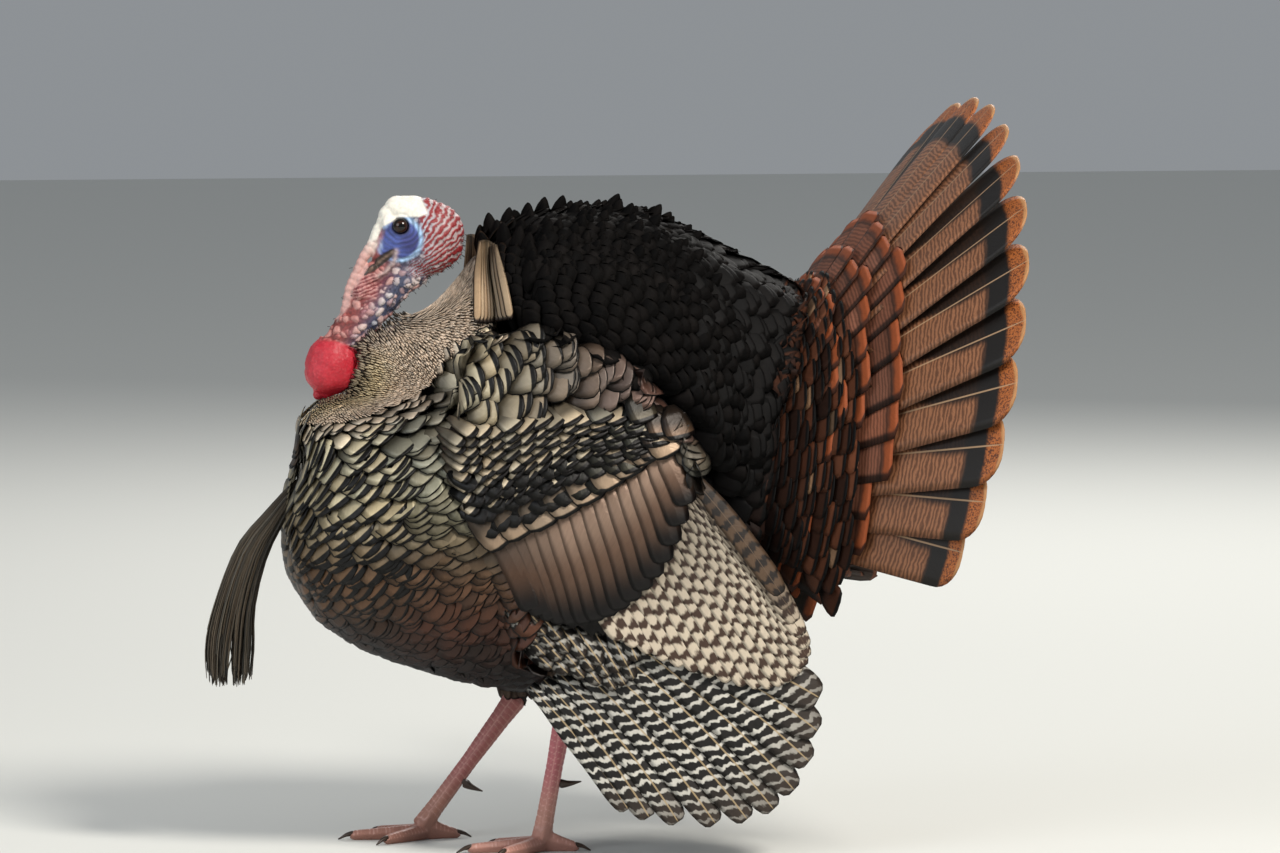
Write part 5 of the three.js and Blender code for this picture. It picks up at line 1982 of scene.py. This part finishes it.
def build_legs(context):
    settings = context.scene.turkey_legs
    for side, ankle, hock in (("left", (-26, -55, 19), (1, -58, 168)),
                              ("right", (-137, 55, 19), (-41, 57, 147))):
        bm = merged_form(("shank_" + side, "foot_" + side), 0.0013, 3)
        places, ways = coordinates(bm), normals(bm)
        spots = own_mm(places)
        start, end = np.array(ankle, float), np.array(hock, float)
        line = end - start
        up = ((spots - start) @ line) / (line @ line) * np.linalg.norm(line)
        shank = rise(4, 14, up)
        turn = np.arctan2(spots[:, 1] - np.interp(up, (0, 150), (ankle[1], hock[1])),
            -(spots[:, 0] - start[0] - line[0] * up / np.linalg.norm(line)))
        wobble = field_noise(spots, 9.0, 4.0)
        rows = up / SHANK_SCALE + 0.5 * (np.abs(turn) > 1.2) + 0.25 * np.abs(turn)
        ring = np.abs((rows + 0.12 * wobble) % 1 - 0.5) * 2
        split = bump_of(np.abs(turn), 1.2, 0.07) + bump_of(np.abs(turn), 2.3, 0.09)
        seam = np.maximum(rise(0.80, 0.97, ring), np.clip(split, 0, 1) * 0.8)
        reach = np.hypot(spots[:, 0] - start[0], spots[:, 1] - start[1])
        toes = np.abs((reach / TOE_SCALE + 0.1 * wobble) % 1 - 0.5) * 2
        top = rise(-0.2, 0.3, ways[:, 2])
        toe_seam = rise(0.75, 0.97, toes) * top
        seam = mix(toe_seam, seam, shank)
        low = rise(0.6, 2.0, spots[:, 2])
        shape = (-0.45 * seam + 0.15) * low
        pads = (1 - top) * (1 - shank)
        tones = tint(settings.foot, settings.shank, rise(15, 75, up))
        # The far, right leg is painted darker and browner: painted shade.
        if side == "right":
            tones = mix(tones, linear("8d5f4c"), 0.45)
        tones = tint(tones, settings.seam, seam * 0.55)
        tones = tint(tones, tones * 0.7, pads * 0.6)
        tones = tones * (1 + 0.12 * wobble)[:, None]
        move_to(bm, places + ways * (shape * MM)[:, None])
        paint(bm, np.clip(tones, 0, 1))
        recipe = Recipe(f"leg scales {side}", Roughness=0.42)
        grain = recipe.noise(recipe.own_place(), 700.0, 3.0)
        tone = recipe.attribute("tone").outputs["Color"]
        recipe.set("Base Color", recipe.shade(tone, recipe.plus(0.85, recipe.times(grain, 0.3))))
        recipe.bump(grain, 0.0003, 0.5)
        piece_of("leg_" + side, mesh_of(bm, "leg"), [recipe.material], "leg",
            ("shank_" + side, "foot_" + side))
        horn = plain_material(f"claw {side}", settings.claw, 0.35)
        tips = [f"claw_{side}_{toe}" for toe in ("middle", "inner", "outer", "hind")]
        tips.append("spur_" + side)
        bm = modified(copy_of(*tips), ("SUBSURF", {"levels": 2, "render_levels": 2}))
        piece_of("claws_" + side, mesh_of(bm, "claws"), [horn], "horn", tips)


class TURKEY_OT_legs(bpy.types.Operator):
    """Scale the shanks and toes, and fit claws and spurs"""
    bl_idname = "turkey.legs"
    bl_label = "Legs and feet"

    def execute(self, context):
        build_legs(context)
        return {"FINISHED"}


# ---- The add-on ------------------------------------------------------------------------------

SETTINGS = {"turkey_studio": TURKEY_PG_studio, "turkey_head": TURKEY_PG_head,
            "turkey_body": TURKEY_PG_body, "turkey_wing": TURKEY_PG_wing,
            "turkey_back": TURKEY_PG_back, "turkey_legs": TURKEY_PG_legs}
OPERATORS = (TURKEY_OT_studio, TURKEY_OT_skin, TURKEY_OT_face, TURKEY_OT_body,
             TURKEY_OT_wings, TURKEY_OT_back, TURKEY_OT_tail, TURKEY_OT_under,
             TURKEY_OT_beard, TURKEY_OT_legs)


class TURKEY_PT_parts(bpy.types.Panel):
    """The turkey's parts, in the order they are built"""
    bl_idname = "TURKEY_PT_parts"
    bl_label = "Wild turkey"
    bl_space_type = "VIEW_3D"
    bl_region_type = "UI"
    bl_category = "Turkey"

    def draw(self, context):
        column = self.layout.column()
        for operator in OPERATORS:
            column.operator(operator.bl_idname)
        for name in SETTINGS:
            group = getattr(context.scene, name)
            for title in group.bl_rna.properties.keys():
                if title not in ("rna_type", "name"):
                    column.prop(group, title)


def register():
    for cls in (*SETTINGS.values(), *OPERATORS, TURKEY_PT_parts):
        bpy.utils.register_class(cls)
    for name, cls in SETTINGS.items():
        setattr(bpy.types.Scene, name, bpy.props.PointerProperty(type=cls))


def unregister():
    for name in SETTINGS:
        delattr(bpy.types.Scene, name)
    for cls in (TURKEY_PT_parts, *reversed(OPERATORS), *reversed(SETTINGS.values())):
        bpy.utils.unregister_class(cls)


def main():
    register()
    bpy.ops.turkey.studio()
    bpy.ops.turkey.skin()
    bpy.ops.turkey.face()
    bpy.ops.turkey.body()
    bpy.ops.turkey.wings()
    bpy.ops.turkey.back()
    bpy.ops.turkey.tail()
    bpy.ops.turkey.under()
    bpy.ops.turkey.beard()
    bpy.ops.turkey.legs()
    bpy.context.view_layer.update()


if __name__ == "__main__":
    main()
